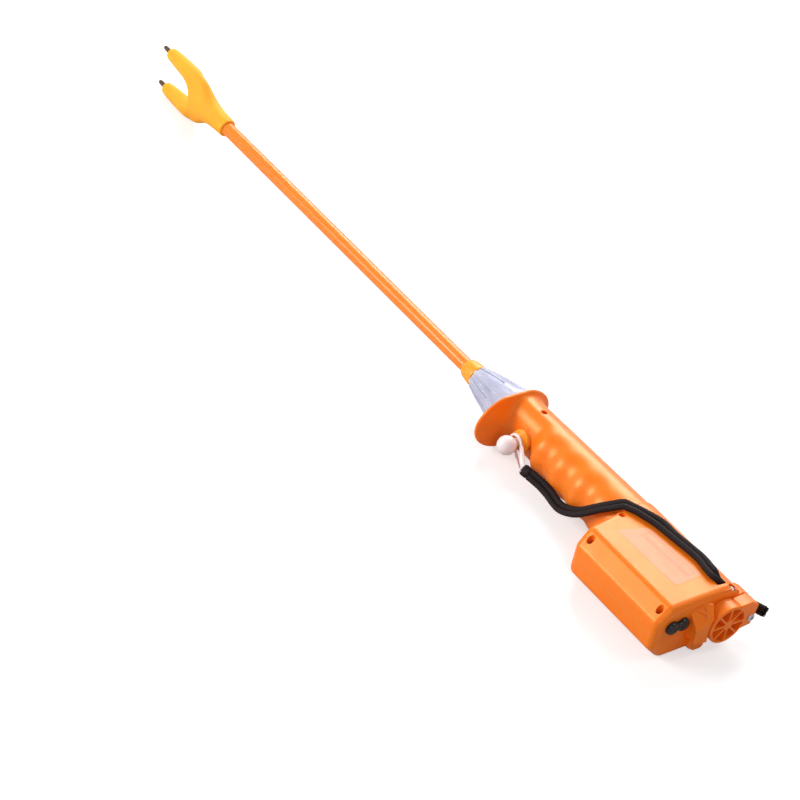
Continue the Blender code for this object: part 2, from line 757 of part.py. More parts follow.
def build_fork():
    """Soft Y-shaped sleeve: half a cage, mirrored across the fork's middle plane and subdivided."""
    sides = 8
    around = [2 * pi * i / sides for i in range(sides)]
    upper = sides // 2 + 1

    # Subdivision draws the cage in, so it starts a little fuller
    full = 1.027

    # Before the crotch the cage is an open half shell, so its lower points lie on the middle plane
    body = (
        (FORK_MOUTH_X, 9.0, 9.0),
        (FORK_MOUTH_X + 1.6, 9.1, 9.1),
        (452.0, 9.6, 9.9),
        (464.0, 10.3, 12.2),
        (473.0, 10.4, 18.0),
        (481.5, 9.8, 24.6),
        (489.0, 9.3, 26.0),
    )
    rings = []
    for x, half_y, half_z in body:
        ring = [point(x, full * half_y * cos(a), full * half_z * sin(a)) for a in around[:upper]]
        ring += [point(x, full * half_y * cos(a), 0) for a in around[upper:]]
        rings.append(ring)
    crotch = [point(FORK_CROTCH_X + 1.0, 8.8 * cos(a), 17.0 + 8.6 * sin(a)) for a in around[:upper]]
    crotch += [point(FORK_CROTCH_X, 7.4 * cos(a), 0) for a in around[upper:]]
    rings.append(crotch)
    prong = (
        (502.5, PRONG_Z + 0.2, 8.6),
        (513.0, PRONG_Z + 0.6, 8.1),
        (526.0, PRONG_Z + 1.0, 7.2),
        (535.6, PRONG_Z + 1.2, 6.5),
        (FORK_END_X - 0.6, PRONG_Z + 1.3, 5.6),
        (FORK_END_X, PRONG_Z + 1.3, 4.4),
    )
    rings += [prong_ring(x, z, full * r, around) for x, z, r in prong]

    scratch = bmesh.new()
    rows = [[scratch.verts.new(p) for p in ring] for ring in rings]
    crotch_row = len(body)
    for number, (row, following) in enumerate(zip(rows, rows[1:])):
        shown = sides if number >= crotch_row else upper - 1
        for i in range(shown):
            j = (i + 1) % sides
            scratch.faces.new((row[i], row[j], following[j], following[i]))
    before, saddle = rows[crotch_row - 1], rows[crotch_row]
    scratch.faces.new((before[0], saddle[0], saddle[-1]))
    scratch.faces.new((before[upper - 1], saddle[upper - 1], saddle[upper]))
    scratch.faces.new(list(reversed(rows[0][:upper])))
    scratch.faces.new(rows[-1])
    loose = [vert for vert in scratch.verts if not vert.link_faces]
    bmesh.ops.delete(scratch, geom=loose, context="VERTS")
    bmesh.ops.recalc_face_normals(scratch, faces=scratch.faces)
    fork = from_bmesh("fork_sleeve", scratch, VINYL)
    mirror = fork.modifiers.new("mirror", "MIRROR")
    mirror.use_axis = (False, False, True)
    mirror.merge_threshold = 0.00005
    rounded = fork.modifiers.new("round", "SUBSURF")
    rounded.levels = 1
    rounded.render_levels = 1

    cut(fork, rod("tube_socket", "X", (0, 0, 0), TUBE_R + GAP, 430.0, TUBE_FRONT_X + GAP, 20))
    for side, label in ((1, "upper"), (-1, "lower")):
        z = side * (PRONG_Z + 1.3)
        cut(fork, rod(f"pin_hole_{label}", "X", (0, 0, z), PIN_R + GAP, PIN_REAR_X - GAP, 545.0, 10))
        cut(fork, wire_mesh(f"lead_channel_{label}", through(lead_in_fork(side), 1), CHANNEL_R, 1))
    smooth(fork, 50.0)


def lead_in_fork(side):
    """Route of an electrode's lead from its pin down the prong into the tube."""
    z = side * (PRONG_Z + 1.3)
    return [
        (PIN_REAR_X + 1.0, 0, z),
        (508.0, 0, z - side * 0.3),
        (497.0, 0, z - side * 2.0),
        (486.0, 0, side * 11.0),
        (476.0, 0, side * 5.6),
        (467.0, 0, side * 2.6),
        (457.0, 0, side * 1.9),
    ]


def build_electrodes():
    profile = [
        (0, TIP_X),
        (1.1, TIP_X - 0.4),
        (1.8, TIP_X - 1.6),
        (2.2, TIP_X - 3.6),
        (PIN_R, TIP_X - 6.0),
        (PIN_R, PIN_REAR_X + 2.0),
        (1.5, PIN_REAR_X),
        (0, PIN_REAR_X),
    ]
    for side, label in ((1, "upper"), (-1, "lower")):
        z = side * (PRONG_Z + 1.3)
        turned(f"electrode_{label}", "X", (0, 0, z), profile, 12, BRONZE)
        build_lead(side, label)


def build_lead(side, label):
    """Insulated lead from an electrode, through fork, tube and grip, to the pulse transformer."""
    in_fork = lead_in_fork(side)
    in_fork[0] = (PIN_REAR_X - GAP, 0, side * (PRONG_Z + 1.3))
    in_grip = [
        (-6.0, 0, side * 1.9),
        (-11.0, -0.6, side * 1.9),
        (-15.5, -4.6, side * 1.9),
        (-18.4, -9.8, side * 2.0),
        (-24.0, -13.0, side * 2.0),
        (-34.0, -13.6, side * 2.2),
        (-70.0, -12.0, side * 2.8),
        (-98.0, -5.0, side * 4.5),
        (-111.0, 7.0, side * 7.0),
        (-120.0, 12.4, side * 8.4),
        (-140.0, 13.2, side * 8.6),
        (-163.0, 13.4, side * 8.6),
        (-180.0, 19.0, side * 8.0),
        (-196.0, 24.6, side * 6.6),
        (-206.0, 26.3, side * 6.0),
        (-211.0, 28.1, side * 6.0),
    ]
    route = through(in_fork, 1) + through(in_grip, 1)
    wire(f"lead_{label}", route, LEAD_R, INSULATION, sides=0)


# Trigger


def build_trigger():
    y_axis = (TRIGGER_X, 0, 0)
    bore = NECK_R + 0.35
    bezel = [
        (bore, BEZEL_TOP_Y),
        (6.8, BEZEL_TOP_Y),
        (7.5, BEZEL_TOP_Y - 0.7),
        (7.5, 18.5),
        (8.4, 18.1),
        (8.4, 16.6),
        (BEZEL_R, 16.2),
        (BEZEL_R, BEZEL_SEAT_Y),
        (BEZEL_BODY_R, BEZEL_SEAT_Y),
        (BEZEL_BODY_R, BEZEL_FOOT_Y + 1.3),
        (BEZEL_R, BEZEL_FOOT_Y + 1.3),
        (BEZEL_R, BEZEL_FOOT_Y),
        (bore, BEZEL_FOOT_Y),
    ]
    turned("trigger_bezel", "Y", y_axis, bezel, 18, AMBER, ring=True)

    waist = asin(NECK_R / BALL_R)
    ball = [(0, BALL_R)]
    for number in range(1, 9):
        angle = (pi - waist) * number / 8
        ball.append((BALL_R * sin(angle), BALL_R * cos(angle)))
    stem = [
        (NECK_R, 9.7 - BALL_Y),
        (6.4, 9.7 - BALL_Y),
        (6.4, 8.2 - BALL_Y),
        (2.0, 8.2 - BALL_Y),
        (2.0, STEM_END_Y - BALL_Y),
        (0, STEM_END_Y - BALL_Y),
    ]
    turned("trigger_button", "Y", (TRIGGER_X, BALL_Y, 0), ball + stem, 18, WHITE)

    turns = 4
    low, high = SPRING_SEAT_Y + 0.4, 7.8
    coil = []
    for number in range(turns * 7 + 1):
        share = number / (turns * 7)
        angle = 2 * pi * turns * share
        coil.append((TRIGGER_X + 3.8 * cos(angle), low + (high - low) * share, 3.8 * sin(angle)))
    wire("trigger_spring", coil, 0.3, STEEL, sides=0)

    # Switch whose lever reaches under the plunger
    lever_y = STEM_END_Y - TRIGGER_TRAVEL - GAP
    switch = box("trigger_switch", (-53.0, -7.5, -5.0), (-34.0, lever_y - 1.0, 5.0), POTTING)
    join(switch, box("lever", (-48.0, lever_y - 0.6, -2.0), (TRIGGER_X + 3.0, lever_y, 2.0)))
    join(switch, box("lever_root", (-48.0, -2.0, -2.0), (-45.0, lever_y - 0.3, 2.0)))


# Power pack and electronics


def build_cells():
    sleeve = [
        (0, SLEEVE_FRONT_X),
        (SLEEVE_R, SLEEVE_FRONT_X),
        (SLEEVE_R, -256.2),
        (CELL_R + 0.5, -256.2),
        (CELL_R + 0.5, SLEEVE_FRONT_X - 1.5),
        (0, SLEEVE_FRONT_X - 1.5),
    ]
    turned("battery_sleeve", "X", (0, 0, 0), sleeve, 20, POTTING)
    rear = HOUSING_REAR_X - 0.1
    for label in ("rear", "front"):
        front = rear + CELL_LENGTH
        profile = [
            (0, 0),
            (2.8, 0),
            (2.8, -1.0),
            (CELL_R - 0.6, -1.0),
            (CELL_R, -1.6),
            (CELL_R, -CELL_LENGTH),
            (0, -CELL_LENGTH),
        ]
        turned(f"battery_cell_{label}", "X", (front, 0, 0), profile, 18, CELL_WRAP)
        rear = front + GAP
    turns = 3
    low, high = rear + 0.6, SLEEVE_FRONT_X - 2.3
    coil = []
    for number in range(turns * 7 + 1):
        share = number / (turns * 7)
        angle = 2 * pi * turns * share
        radius = 3.2 + 2.8 * share
        coil.append((low + (high - low) * share, radius * cos(angle), radius * sin(angle)))
    wire("battery_spring", coil, 0.5, STEEL, sides=0)


def build_electronics():
    box("circuit_board", (-246.0, 27.0, BOARD_Z), (-173.0, 52.0, BOARD_Z + 1.6), BOARD)
    on_board = BOARD_Z + 1.6 + GAP
    core = box("pulse_transformer", (-244.0, 29.0, on_board), (-204.0, 51.0, 14.0), POTTING)
    soften(core, 1.5, 2)
    rod("storage_capacitor", "X", (0, 41.0, on_board + 8.0), 8.0, -201.0, -175.0, 20, CELL_WRAP)
    y, z = PLUG_CENTRE
    socket = box("charge_socket", (-256.3, y - 8.4, z - 5.4), (-247.0, y + 8.4, z + 5.4), POTTING)
    for side in (-1, 1):
        way = (0, y + side * PRONG_SPACING / 2, z)
        cut(socket, rod(f"socket_way_{side}", "X", way, 2.6, -258.0, -249.0, 14))


def build_charge_plug():
    """Rubber stopper of two joined domes, with a prong for each way of the socket."""
    y, z = PLUG_CENTRE
    dome = [(0, 0), (LOBE_R, 0), (LOBE_R, -1.0), (4.8, -2.6), (0, -3.3)]
    lobes = []
    for name, side in (("charge_plug", -1), ("second_lobe", 1)):
        place = (COVER_INNER_X, y + side * LOBE_SPACING / 2, z)
        lobes.append(turned(name, "X", place, dome, 16, RUBBER))
    plug, second = lobes
    join(plug, second, box("waist", (-262.6, y - 5.0, z - 3.6), (COVER_INNER_X - 0.1, y + 5.0, z + 3.6)))
    for side in (-1, 1):
        way = (0, y + side * PRONG_SPACING / 2, z)
        join(plug, rod(f"plug_prong_{side}", "X", way, 2.2, -261.0, -254.0, 12))
    second.data.materials.clear()


# Rear cover


def pocket_outline(number):
    """One sector between two spokes, in the cross-section."""
    half_spoke = 0.75
    middle = 2 * pi * (number + 0.5) / SPOKES
    spread = pi / SPOKES
    inner_r, outer_r = 4.2, DISC_R - 2.1
    inner = spread - asin(half_spoke / inner_r)
    outer = spread - asin(half_spoke / outer_r)
    points = [(inner_r * cos(middle - inner), inner_r * sin(middle - inner))]
    for step in range(4):
        angle = middle - outer + 2 * outer * step / 3
        points.append((outer_r * cos(angle), outer_r * sin(angle)))
    points.append((inner_r * cos(middle + inner), inner_r * sin(middle + inner)))
    return points


def build_rear_cover():
    """Round cover with spokes and an ear. Its origin is on the screw that it swings about."""
    thickness = COVER_INNER_X - COVER_OUTER_X
    profile = [(0, 0), (DISC_R, 0), (DISC_R, -thickness + 0.6), (DISC_R - 0.6, -thickness), (0, -thickness)]
    cover = turned("rear_cover_disc", "X", (COVER_INNER_X, 0, 0), profile, 36)
    join(cover, soften(prism("cover_ear", ear_outline(), COVER_OUTER_X, COVER_INNER_X), 0.8, 1))
    for number in range(SPOKES):
        cut(cover, prism(f"pocket_{number}", pocket_outline(number), -274.0, -263.0))
    cut(cover, rod("ear_bore", "X", (0, *COVER_PIVOT), 1.9, -274.0, -258.0, 16))
    cut(cover, rod("contact_recess", "X", (0, 0, 0), 7.0, COVER_INNER_X - 1.2, -258.0, 20))
    solid = frozen(cover, "rear_cover")
    for used in [cover, *[tool.object for tool in cover.modifiers if tool.type == "BOOLEAN"]]:
        bpy.data.objects.remove(used)
    pivot = point(0, *COVER_PIVOT)
    solid.data.transform(Matrix.Translation(-pivot))
    solid.location = pivot
    solid.data.materials.clear()
    solid.data.materials.append(ORANGE)
    smooth(solid)
    rod("cover_contact", "X", (0, 0, 0), 6.6, COVER_INNER_X - 0.9, COVER_INNER_X - 0.1, 20, BRASS)
    thread_end = COVER_OUTER_X - HOUSING_REAR_X - 8.0
    long_profile = [
        (0, -thread_end),
        (1.0, -thread_end),
        (1.0, thickness + GAP),
        (1.5, thickness),
        (1.5, 0.0),
        (3.3, 0.0),
        (3.3, -0.5),
        (2.0, -1.5),
        (0, -1.7),
    ]
    turned("cover_screw", "X", (COVER_OUTER_X - 0.1, *COVER_PIVOT), long_profile, 12, STEEL)


# Wrist strap and its tie

# Middle line of the doubled strap in millimetres, from its sewn end along the grip to the housing
STRAP_FRONT = (
    (-62.0, 28.6, -7.4),
    (-74.0, 26.2, -8.6),
    (-86.0, 25.6, -10.2),
    (-99.0, 26.6, -11.2),
    (-112.0, 27.6, -5.6),
    (-124.0, 27.4, 3.2),
    (-137.0, 22.4, 16.2),
    (-150.0, 12.8, 26.9),
)
FRONT_SIDE = (0.0, -0.733, 0.68)
# From the housing's front each cord has a route of its own to the slot and out to its cut end
CORD_ROUTES = {
    "a": (
        (-160.0, 5.2, 27.7),
        (-180.0, -2.2, 27.7),
        (-196.0, -2.4, 27.7),
        (-222.0, -5.3, 27.7),
        (-234.0, -4.5, 27.7),
        (-240.4, -3.7, 27.5),
        (-243.9, -4.3, 24.0),
        (-244.1, -9.5, 17.4),
        (-244.1, -21.5, 5.4),
        (-245.0, -28.6, -1.6),
        (-249.5, -34.8, -7.5),
        (-257.0, -39.6, -9.0),
        (-267.2, -41.7, -7.3),
    ),
    "b": (
        (-161.0, 10.0, 27.7),
        (-180.0, 4.4, 27.7),
        (-196.0, 2.4, 27.7),
        (-222.0, -0.5, 27.7),
        (-235.0, 1.0, 27.7),
        (-243.8, 1.6, 27.6),
        (-248.4, -1.6, 25.2),
        (-248.8, -7.6, 19.3),
        (-248.8, -21.0, 5.9),
        (-249.9, -28.4, 0.2),
        (-253.5, -34.6, -2.0),
        (-259.5, -39.6, -3.6),
        (-268.0, -41.9, -2.3),
    ),
}


def cord_route(label):
    """Route of one cord: beside the strap's middle line first, then its own points."""
    half = CORD_SPACING / 2 if label == "a" else -CORD_SPACING / 2
    middle = through(STRAP_FRONT, 2)
    sideways = Vector(FRONT_SIDE)
    beside = []
    for before, here in zip(middle, middle[1:]):
        ahead = (here - before).normalized()
        sideways = (sideways - ahead * sideways.dot(ahead)).normalized()
        beside.append(before + sideways * half)
    beside.append(middle[-1] + sideways * half)
    return beside[:-1] + through([beside[-1], *CORD_ROUTES[label]], 2)


def build_strap():
    for label in CORD_ROUTES:
        wire(f"wrist_cord_{label}", cord_route(label), CORD_R, BRAID, sides=1)

    # Sewn end that folds over the two legs of the tie
    across = Vector(FRONT_SIDE)
    along = (Vector(STRAP_FRONT[0]) - Vector(STRAP_FRONT[1])).normalized()
    across = (across - along * across.dot(along)).normalized()
    normal = along.cross(across)
    turn = Matrix((along, across, normal)).transposed().to_4x4()
    middle = Vector(STRAP_FRONT[0]) + along * 5.6
    sewn = box("strap_end", (-5.2, -4.7, -2.6), (5.2, 4.7, 2.6), BRAID)
    soften(sewn, 1.4, 2)
    sewn.matrix_local = Matrix.Translation(middle * MM) @ turn

    # Tie: from the sewn end round the trigger's neck and back
    neck = Vector((TRIGGER_X, TIE_Y, 0.0))
    hollows = []
    for side in (1, -1):
        mouth = middle + along * 5.2 + across * (side * 2.3)
        hollows.append((mouth + along * 1.6, mouth - along * 3.0))
        way = wire_mesh(f"tie_way_{side}", [mouth + along * 2.0, mouth - along * 3.3], TIE_R + GAP, 1)
        cut(sewn, way)
    toward = hollows[0][0] + hollows[1][0] - neck * 2
    toward.y = 0
    toward.normalize()
    beside = toward.cross(Vector((0, 1, 0)))
    if beside.dot(across) < 0:
        beside = -beside
    loop = []
    for number in range(9):
        angle = radians(-30 + 240 * number / 8)
        loop.append(neck + (beside * cos(angle) - toward * sin(angle)) * TIE_LOOP_R)
    right_leg = [hollows[0][1], hollows[0][0], hollows[0][0].lerp(loop[0], 0.5)]
    left_leg = [hollows[1][0].lerp(loop[-1], 0.5), hollows[1][0], hollows[1][1]]
    wire("strap_tie", right_leg + loop + left_leg, TIE_R, WHITE)


build_shells()
build_shell_screws()
build_bar_screw()
build_tube()
build_collar()
build_lamp_cover()
build_lamp()
build_fork()
build_electrodes()
build_trigger()
build_cells()
build_electronics()
build_charge_plug()
build_rear_cover()
build_strap()
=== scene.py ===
"""Looks of the livestock prod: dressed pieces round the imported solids, with floor, light and camera."""

from math import asin, cos, pi, radians, sin, sqrt

import bmesh
import bpy
from mathutils import Matrix, Vector, noise


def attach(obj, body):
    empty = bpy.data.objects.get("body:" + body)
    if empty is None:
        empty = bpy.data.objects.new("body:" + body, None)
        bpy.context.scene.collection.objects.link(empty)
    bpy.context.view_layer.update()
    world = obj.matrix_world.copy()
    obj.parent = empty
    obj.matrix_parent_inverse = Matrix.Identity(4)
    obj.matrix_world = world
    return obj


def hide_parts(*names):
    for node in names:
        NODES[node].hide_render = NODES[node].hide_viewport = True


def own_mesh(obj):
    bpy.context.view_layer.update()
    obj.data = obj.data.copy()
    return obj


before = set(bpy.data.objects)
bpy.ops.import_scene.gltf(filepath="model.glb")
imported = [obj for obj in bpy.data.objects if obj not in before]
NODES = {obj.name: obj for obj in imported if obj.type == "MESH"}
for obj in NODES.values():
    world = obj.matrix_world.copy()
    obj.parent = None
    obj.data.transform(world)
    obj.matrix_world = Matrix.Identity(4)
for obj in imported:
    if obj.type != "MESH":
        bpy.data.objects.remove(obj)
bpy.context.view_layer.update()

MM = 0.001
GAP = 0.3
SHIFT = Vector((-0.1384, -0.0164, 0.025))

# The same sizes as the solids: millimetres, two slopes and two counts
HALF_THICKNESS = 25.0
TIP_X = 550.3
BELLY_Y = 64.0
TUBE_R = 6.2
TUBE_BORE_R = 4.7
TUBE_REAR_X = -12.0
TUBE_FRONT_X = 462.0
COLLAR_FRONT_X = 63.6
COVER_FRONT_X = 48.6
COVER_FRONT_R = 10.7
COVER_REAR_R = 22.4
COVER_WALL = 1.9
FLUTES = 8
FLUTE_REAR_X = 17.0
FORK_MOUTH_X = 435.2
FORK_CROTCH_X = 493.0
FORK_END_X = 538.6
PRONG_Z = 17.2
PIN_R = 2.3
PIN_REAR_X = 519.0
WALL = 2.6
GUARD_X = -3.6
GUARD_THICKNESS = 2.6
GUARD_Y = 5.8
GUARD_HALF_LENGTH = 37.0
GUARD_HALF_WIDTH = 26.6
NOSE_R = 14.5
NOSE_FRONT_X = 6.0
GRIP_FRONT_R = 21.6
GRIP_TAPER = 0.0145
GRIP_REAR_X = -172.0
FINGER_HOLLOWS = (-67.0, -92.0, -117.0)
FINGER_HALF_PITCH = 12.5
FINGER_DEPTH = 2.7
TRIGGER_HOLLOW_DEPTH = 7.8
TRIGGER_HOLLOW_END_X = -54.0
TRIGGER_HOLLOW_RAMP = 13.0
HOUSING_FRONT_X = -149.5
HOUSING_SLANT = 0.14
HOUSING_REAR_X = -260.0
CHAMFER = 12.5
TRIGGER_X = -31.5
BEZEL_R = 9.3
BEZEL_BODY_R = 7.7
BEZEL_FOOT_Y = 10.0
BEZEL_SEAT_Y = 14.4
BEZEL_TOP_Y = 20.2
NECK_R = 3.4
BALL_R = 8.0
BALL_Y = 31.0
STEM_END_Y = 4.0
COVER_PIVOT = (-22.6, 0.0)
DISC_R = 17.3
COVER_INNER_X = HOUSING_REAR_X - GAP
COVER_OUTER_X = -271.7
SPOKES = 8
PLUG_CENTRE = (43.8, 7.0)
PRONG_SPACING = 10.0
CELL_R = 9.2
CORD_R = 2.2
CORD_SPACING = 4.7
TIE_Y = 21.8
TIE_LOOP_R = 6.6
SHELL_SCREWS = (
    (-29.5, -3.2, 13.0),
    (-157.8, 20.0, 15.0),
    (-167.0, 56.5, 9.0),
    (-251.0, 56.5, 9.0),
)
BAR_SCREW = (-255.6, -10.0)

# Sizes that only the looks have, in millimetres
SEAM = 0.07
EDGE_R = 6.0
CORNER_R = 6.5
FLUTE_DEPTH = 1.15
FLUTE_BOW = 1.2
PIN_Z = PRONG_Z + 1.3
BOSS_R = 3.7
COVER_EDGE_R = 1.2
LOBE_OFFSET = 5.2
BOSS_TOPS = (20.4, 23.8, 23.8, 23.8)
BAR_SEAT_Z = 19.2

# Two angles, a count and a ratio that only the looks have
FLUTE_TURN = radians(31.5)
FLUTE_HALF_ANGLE = radians(12.2)
GRIP_SIDES = 112
BEND = 0.4142


def at(x, y, z):
    """A point in the row frame from the tool's own millimetres."""
    return Vector((x * MM, y * MM, z * MM)) + SHIFT


def link(made):
    bpy.context.scene.collection.objects.link(made)
    return made


def round_angles(count, start=0.0):
    """Even angles round a circle."""
    return [2 * pi * (i + start) / count for i in range(count)]


# Camera

FOCAL_PIXELS = 2744.7
PICTURE_PIXELS = 800
SENSOR_WIDTH = 36.0
CAMERA_PLACE = (-1.37365, 1.25537, 1.34075)
RIGHT = Vector((-0.5642, -0.8058, 0.1797))
UP = Vector((0.5815, -0.2334, 0.7793))
BACK = Vector((-0.5861, 0.5442, 0.6003))


def build_camera():
    data = bpy.data.cameras.new("camera")
    data.sensor_width = SENSOR_WIDTH
    data.lens = FOCAL_PIXELS / PICTURE_PIXELS * SENSOR_WIDTH
    data.clip_start = 0.05
    data.clip_end = 40.0
    camera = bpy.data.objects.new("camera", data)
    turn = Matrix((RIGHT, UP, BACK)).transposed().to_4x4()
    camera.matrix_world = Matrix.Translation(CAMERA_PLACE) @ turn
    bpy.context.scene.camera = link(camera)


# Node helpers


def new_material(name):
    made = bpy.data.materials.new(name)
    made.use_nodes = True
    return made, made.node_tree, made.node_tree.nodes["Principled BSDF"]


def feed(tree, made, inputs):
    """Links the sockets and sets the plain values among a node's inputs."""
    for key, value in inputs.items():
        socket = made.inputs[key]
        if isinstance(value, bpy.types.NodeSocket):
            tree.links.new(value, socket)
        else:
            socket.default_value = value
    return made


def node(tree, kind, inputs=None, **settings):
    made = tree.nodes.new(kind)
    for key, value in settings.items():
        setattr(made, key, value)
    return feed(tree, made, inputs or {})


def mix_colour(tree, share, first, second):
    first, second = [(*c, 1.0) if isinstance(c, tuple) else c for c in (first, second)]
    return node(tree, "ShaderNodeMix", {0: share, 6: first, 7: second}, data_type="RGBA").outputs[2]


def maths(tree, operation, first, second):
    return node(tree, "ShaderNodeMath", {0: first, 1: second}, operation=operation).outputs[0]


def ranged(tree, value, low, high, to_low=0.0, to_high=1.0):
    inputs = {"Value": value, "From Min": low, "From Max": high, "To Min": to_low, "To Max": to_high}
    return node(tree, "ShaderNodeMapRange", inputs).outputs["Result"]


def grain(tree, scale, detail=3.0, roughness=0.55, stretch=None):
    """Noise in the object's own metres, with an optional stretch."""
    place = node(tree, "ShaderNodeTexCoord").outputs["Object"]
    if stretch:
        place = node(tree, "ShaderNodeMapping", {"Vector": place, "Scale": stretch}).outputs["Vector"]
    inputs = {"Vector": place, "Scale": scale, "Detail": detail, "Roughness": roughness}
    return node(tree, "ShaderNodeTexNoise", inputs).outputs["Fac"]


def bump(tree, height, strength, distance, normal=None):
    inputs = {"Height": height, "Strength": strength, "Distance": distance}
    if normal is not None:
        inputs["Normal"] = normal
    return node(tree, "ShaderNodeBump", inputs).outputs["Normal"]


def rounded_normal(tree, radius):
    return node(tree, "ShaderNodeBevel", {"Radius": radius}, samples=6).outputs["Normal"]


def moulded(
    name, colour, second, roughness, scatter=0.0, edge=0.00045, worn=None, peel=0.05, tint=None, level=0.5
):
    """Moulded plastic: two close shades, faint moulding texture, uneven gloss and lighter worn edges."""
    made, tree, shader = new_material(name)
    base = mix_colour(tree, ranged(tree, grain(tree, 14.0, 1.0), 0.35, 0.65), colour, second)
    if worn:
        surface = node(tree, "ShaderNodeNewGeometry").outputs
        turned = {0: rounded_normal(tree, 0.0006), 1: surface["Normal"]}
        turned = node(tree, "ShaderNodeVectorMath", turned, operation="DOT_PRODUCT").outputs["Value"]
        turned = ranged(tree, turned, 0.995, 0.93, 0.0, 0.42)
        rubbed = maths(tree, "MULTIPLY", turned, ranged(tree, surface["Pointiness"], 0.5, 0.53))
        rubbed = maths(tree, "MULTIPLY", rubbed, ranged(tree, grain(tree, 160.0), 0.3, 0.6, 0.35, 1.0))
        base = mix_colour(tree, rubbed, base, worn)
    normal = rounded_normal(tree, edge) if edge else None
    normal = bump(tree, grain(tree, 420.0, 2.0), peel, 0.0003, normal)
    fine = grain(tree, 70.0, 6.0, 0.7)
    inputs = {
        "Base Color": base,
        "Roughness": ranged(tree, fine, 0.3, 0.7, roughness - 0.04, roughness + 0.05),
        "Normal": bump(tree, grain(tree, 3200.0, 2.0), peel * 1.2, 0.0001, normal),
        "Specular IOR Level": level,
    }
    if tint:
        inputs["Specular Tint"] = (*tint, 1.0)
    if scatter:
        inputs["Subsurface Weight"] = scatter
        inputs["Subsurface Radius"] = (1.0, 0.3, 0.08)
        inputs["Subsurface Scale"] = 0.005
    feed(tree, shader, inputs)
    return made


def metal(name, colour, second, roughness):
    """Bare metal with fine scratches along the tool."""
    made, tree, shader = new_material(name)
    fine = grain(tree, 900.0, 4.0, 0.6, (1.0, 4.0, 4.0))
    inputs = {
        "Base Color": mix_colour(tree, ranged(tree, grain(tree, 260.0, 4.0), 0.35, 0.7), colour, second),
        "Metallic": 1.0,
        "Roughness": ranged(tree, fine, 0.3, 0.7, roughness - 0.08, roughness + 0.14),
        "Normal": bump(tree, fine, 0.12, 0.00006),
    }
    feed(tree, shader, inputs)
    return made


def clear_plastic():
    """Slightly milky clear plastic: faint flow marks along the tool, painted shade in the creases and painted
    highlights on the edges.
    """
    made, tree, shader = new_material("clear_lens")
    flow = grain(tree, 240.0, 3.0, 0.55, (0.16, 1.0, 1.0))
    pointed = node(tree, "ShaderNodeNewGeometry").outputs["Pointiness"]
    base = mix_colour(tree, ranged(tree, flow, 0.35, 0.65), (0.56, 0.57, 0.74), (0.68, 0.69, 0.84))
    # Painted shade: darker blue-grey where the surface is concave, in the creases of the flutes
    base = mix_colour(tree, ranged(tree, pointed, 0.493, 0.46, 0.0, 0.8), base, (0.24, 0.25, 0.38))
    # Painted highlight: paler where the surface is convex, along the edges
    base = mix_colour(tree, ranged(tree, pointed, 0.507, 0.56, 0.0, 0.55), base, (0.95, 0.95, 1.0))
    inputs = {
        "Base Color": base,
        "Roughness": ranged(tree, flow, 0.3, 0.7, 0.16, 0.3),
        "Transmission Weight": 0.34,
        "IOR": 1.46,
        "Specular IOR Level": 0.14,
        "Normal": bump(tree, flow, 0.05, 0.0004, rounded_normal(tree, 0.0003)),
    }
    feed(tree, shader, inputs)
    return made


def braid(name, colour, lit):
    """Black cord: filaments that follow each strand, with painted shade between the strands and a painted lit
    colour on the raised ones.
    """
    made, tree, shader = new_material(name)
    weave = node(tree, "ShaderNodeAttribute", attribute_name="weave").outputs["Fac"]
    threads = grain(tree, 2600.0, 3.0, 0.6)
    # Painted light and shade: raised strands get the lit colour, the dips between them keep the dark colour
    raised = ranged(tree, weave, 0.2, 1.0, 0.0, 0.8)
    shade = maths(tree, "MULTIPLY", raised, ranged(tree, threads, 0.35, 0.7, 0.2, 1.0))
    inputs = {
        "Base Color": mix_colour(tree, shade, colour, lit),
        "Roughness": ranged(tree, threads, 0.3, 0.7, 0.5, 0.8),
        "Specular IOR Level": 0.16,
        "Normal": bump(tree, threads, 0.35, 0.00012),
    }
    feed(tree, shader, inputs)
    return made


def film(name, colour, second):
    """Thin film: faint uneven fading and a soft gloss."""
    made, tree, shader = new_material(name)
    inputs = {
        "Base Color": mix_colour(tree, ranged(tree, grain(tree, 130.0, 4.0), 0.3, 0.7), colour, second),
        "Specular Tint": (*WARM, 1.0),
        "Specular IOR Level": 0.4,
        "Roughness": 0.4,
        "Normal": bump(tree, grain(tree, 90.0), 0.05, 0.0004),
    }
    feed(tree, shader, inputs)
    return made


def led_dome():
    made, tree, shader = new_material("led_dome")
    core = grain(tree, 500.0, 2.0)
    inputs = {
        "Base Color": mix_colour(tree, ranged(tree, core, 0.3, 0.7), (0.95, 0.93, 0.82), (1.0, 0.98, 0.9)),
        "Transmission Weight": 0.7,
        "Roughness": ranged(tree, core, 0.3, 0.7, 0.05, 0.15),
    }
    feed(tree, shader, inputs)
    return made


WARM = (1.0, 0.78, 0.36)
ORANGE = moulded(
    "orange_abs", (0.98, 0.195, 0.008), (0.98, 0.182, 0.007), 0.38,
    scatter=0.3, worn=(1.0, 0.45, 0.17), tint=WARM, level=0.7,
)
TUBE_ORANGE = moulded(
    "orange_tube", (0.98, 0.225, 0.026), (0.98, 0.21, 0.023), 0.25,
    scatter=0.25, edge=0, peel=0.03, tint=(1.0, 0.78, 0.58), level=0.4,
)
AMBER = moulded(
    "amber_abs", (0.99, 0.34, 0.03), (0.98, 0.325, 0.027), 0.36, scatter=0.25, worn=(1.0, 0.6, 0.2), tint=WARM
)
VINYL = moulded(
    "yellow_vinyl", (0.96, 0.385, 0.03), (0.95, 0.36, 0.026), 0.55,
    scatter=0.35, edge=0, peel=0.1, tint=WARM, level=0.25,
)
WHITE = moulded("white_nylon", (0.86, 0.74, 0.74), (0.84, 0.72, 0.72), 0.38, scatter=0.3, edge=0)
RUBBER = moulded(
    "black_rubber", (0.006, 0.005, 0.0055), (0.01, 0.009, 0.0095), 0.15, edge=0.0003, worn=(0.03, 0.03, 0.03)
)
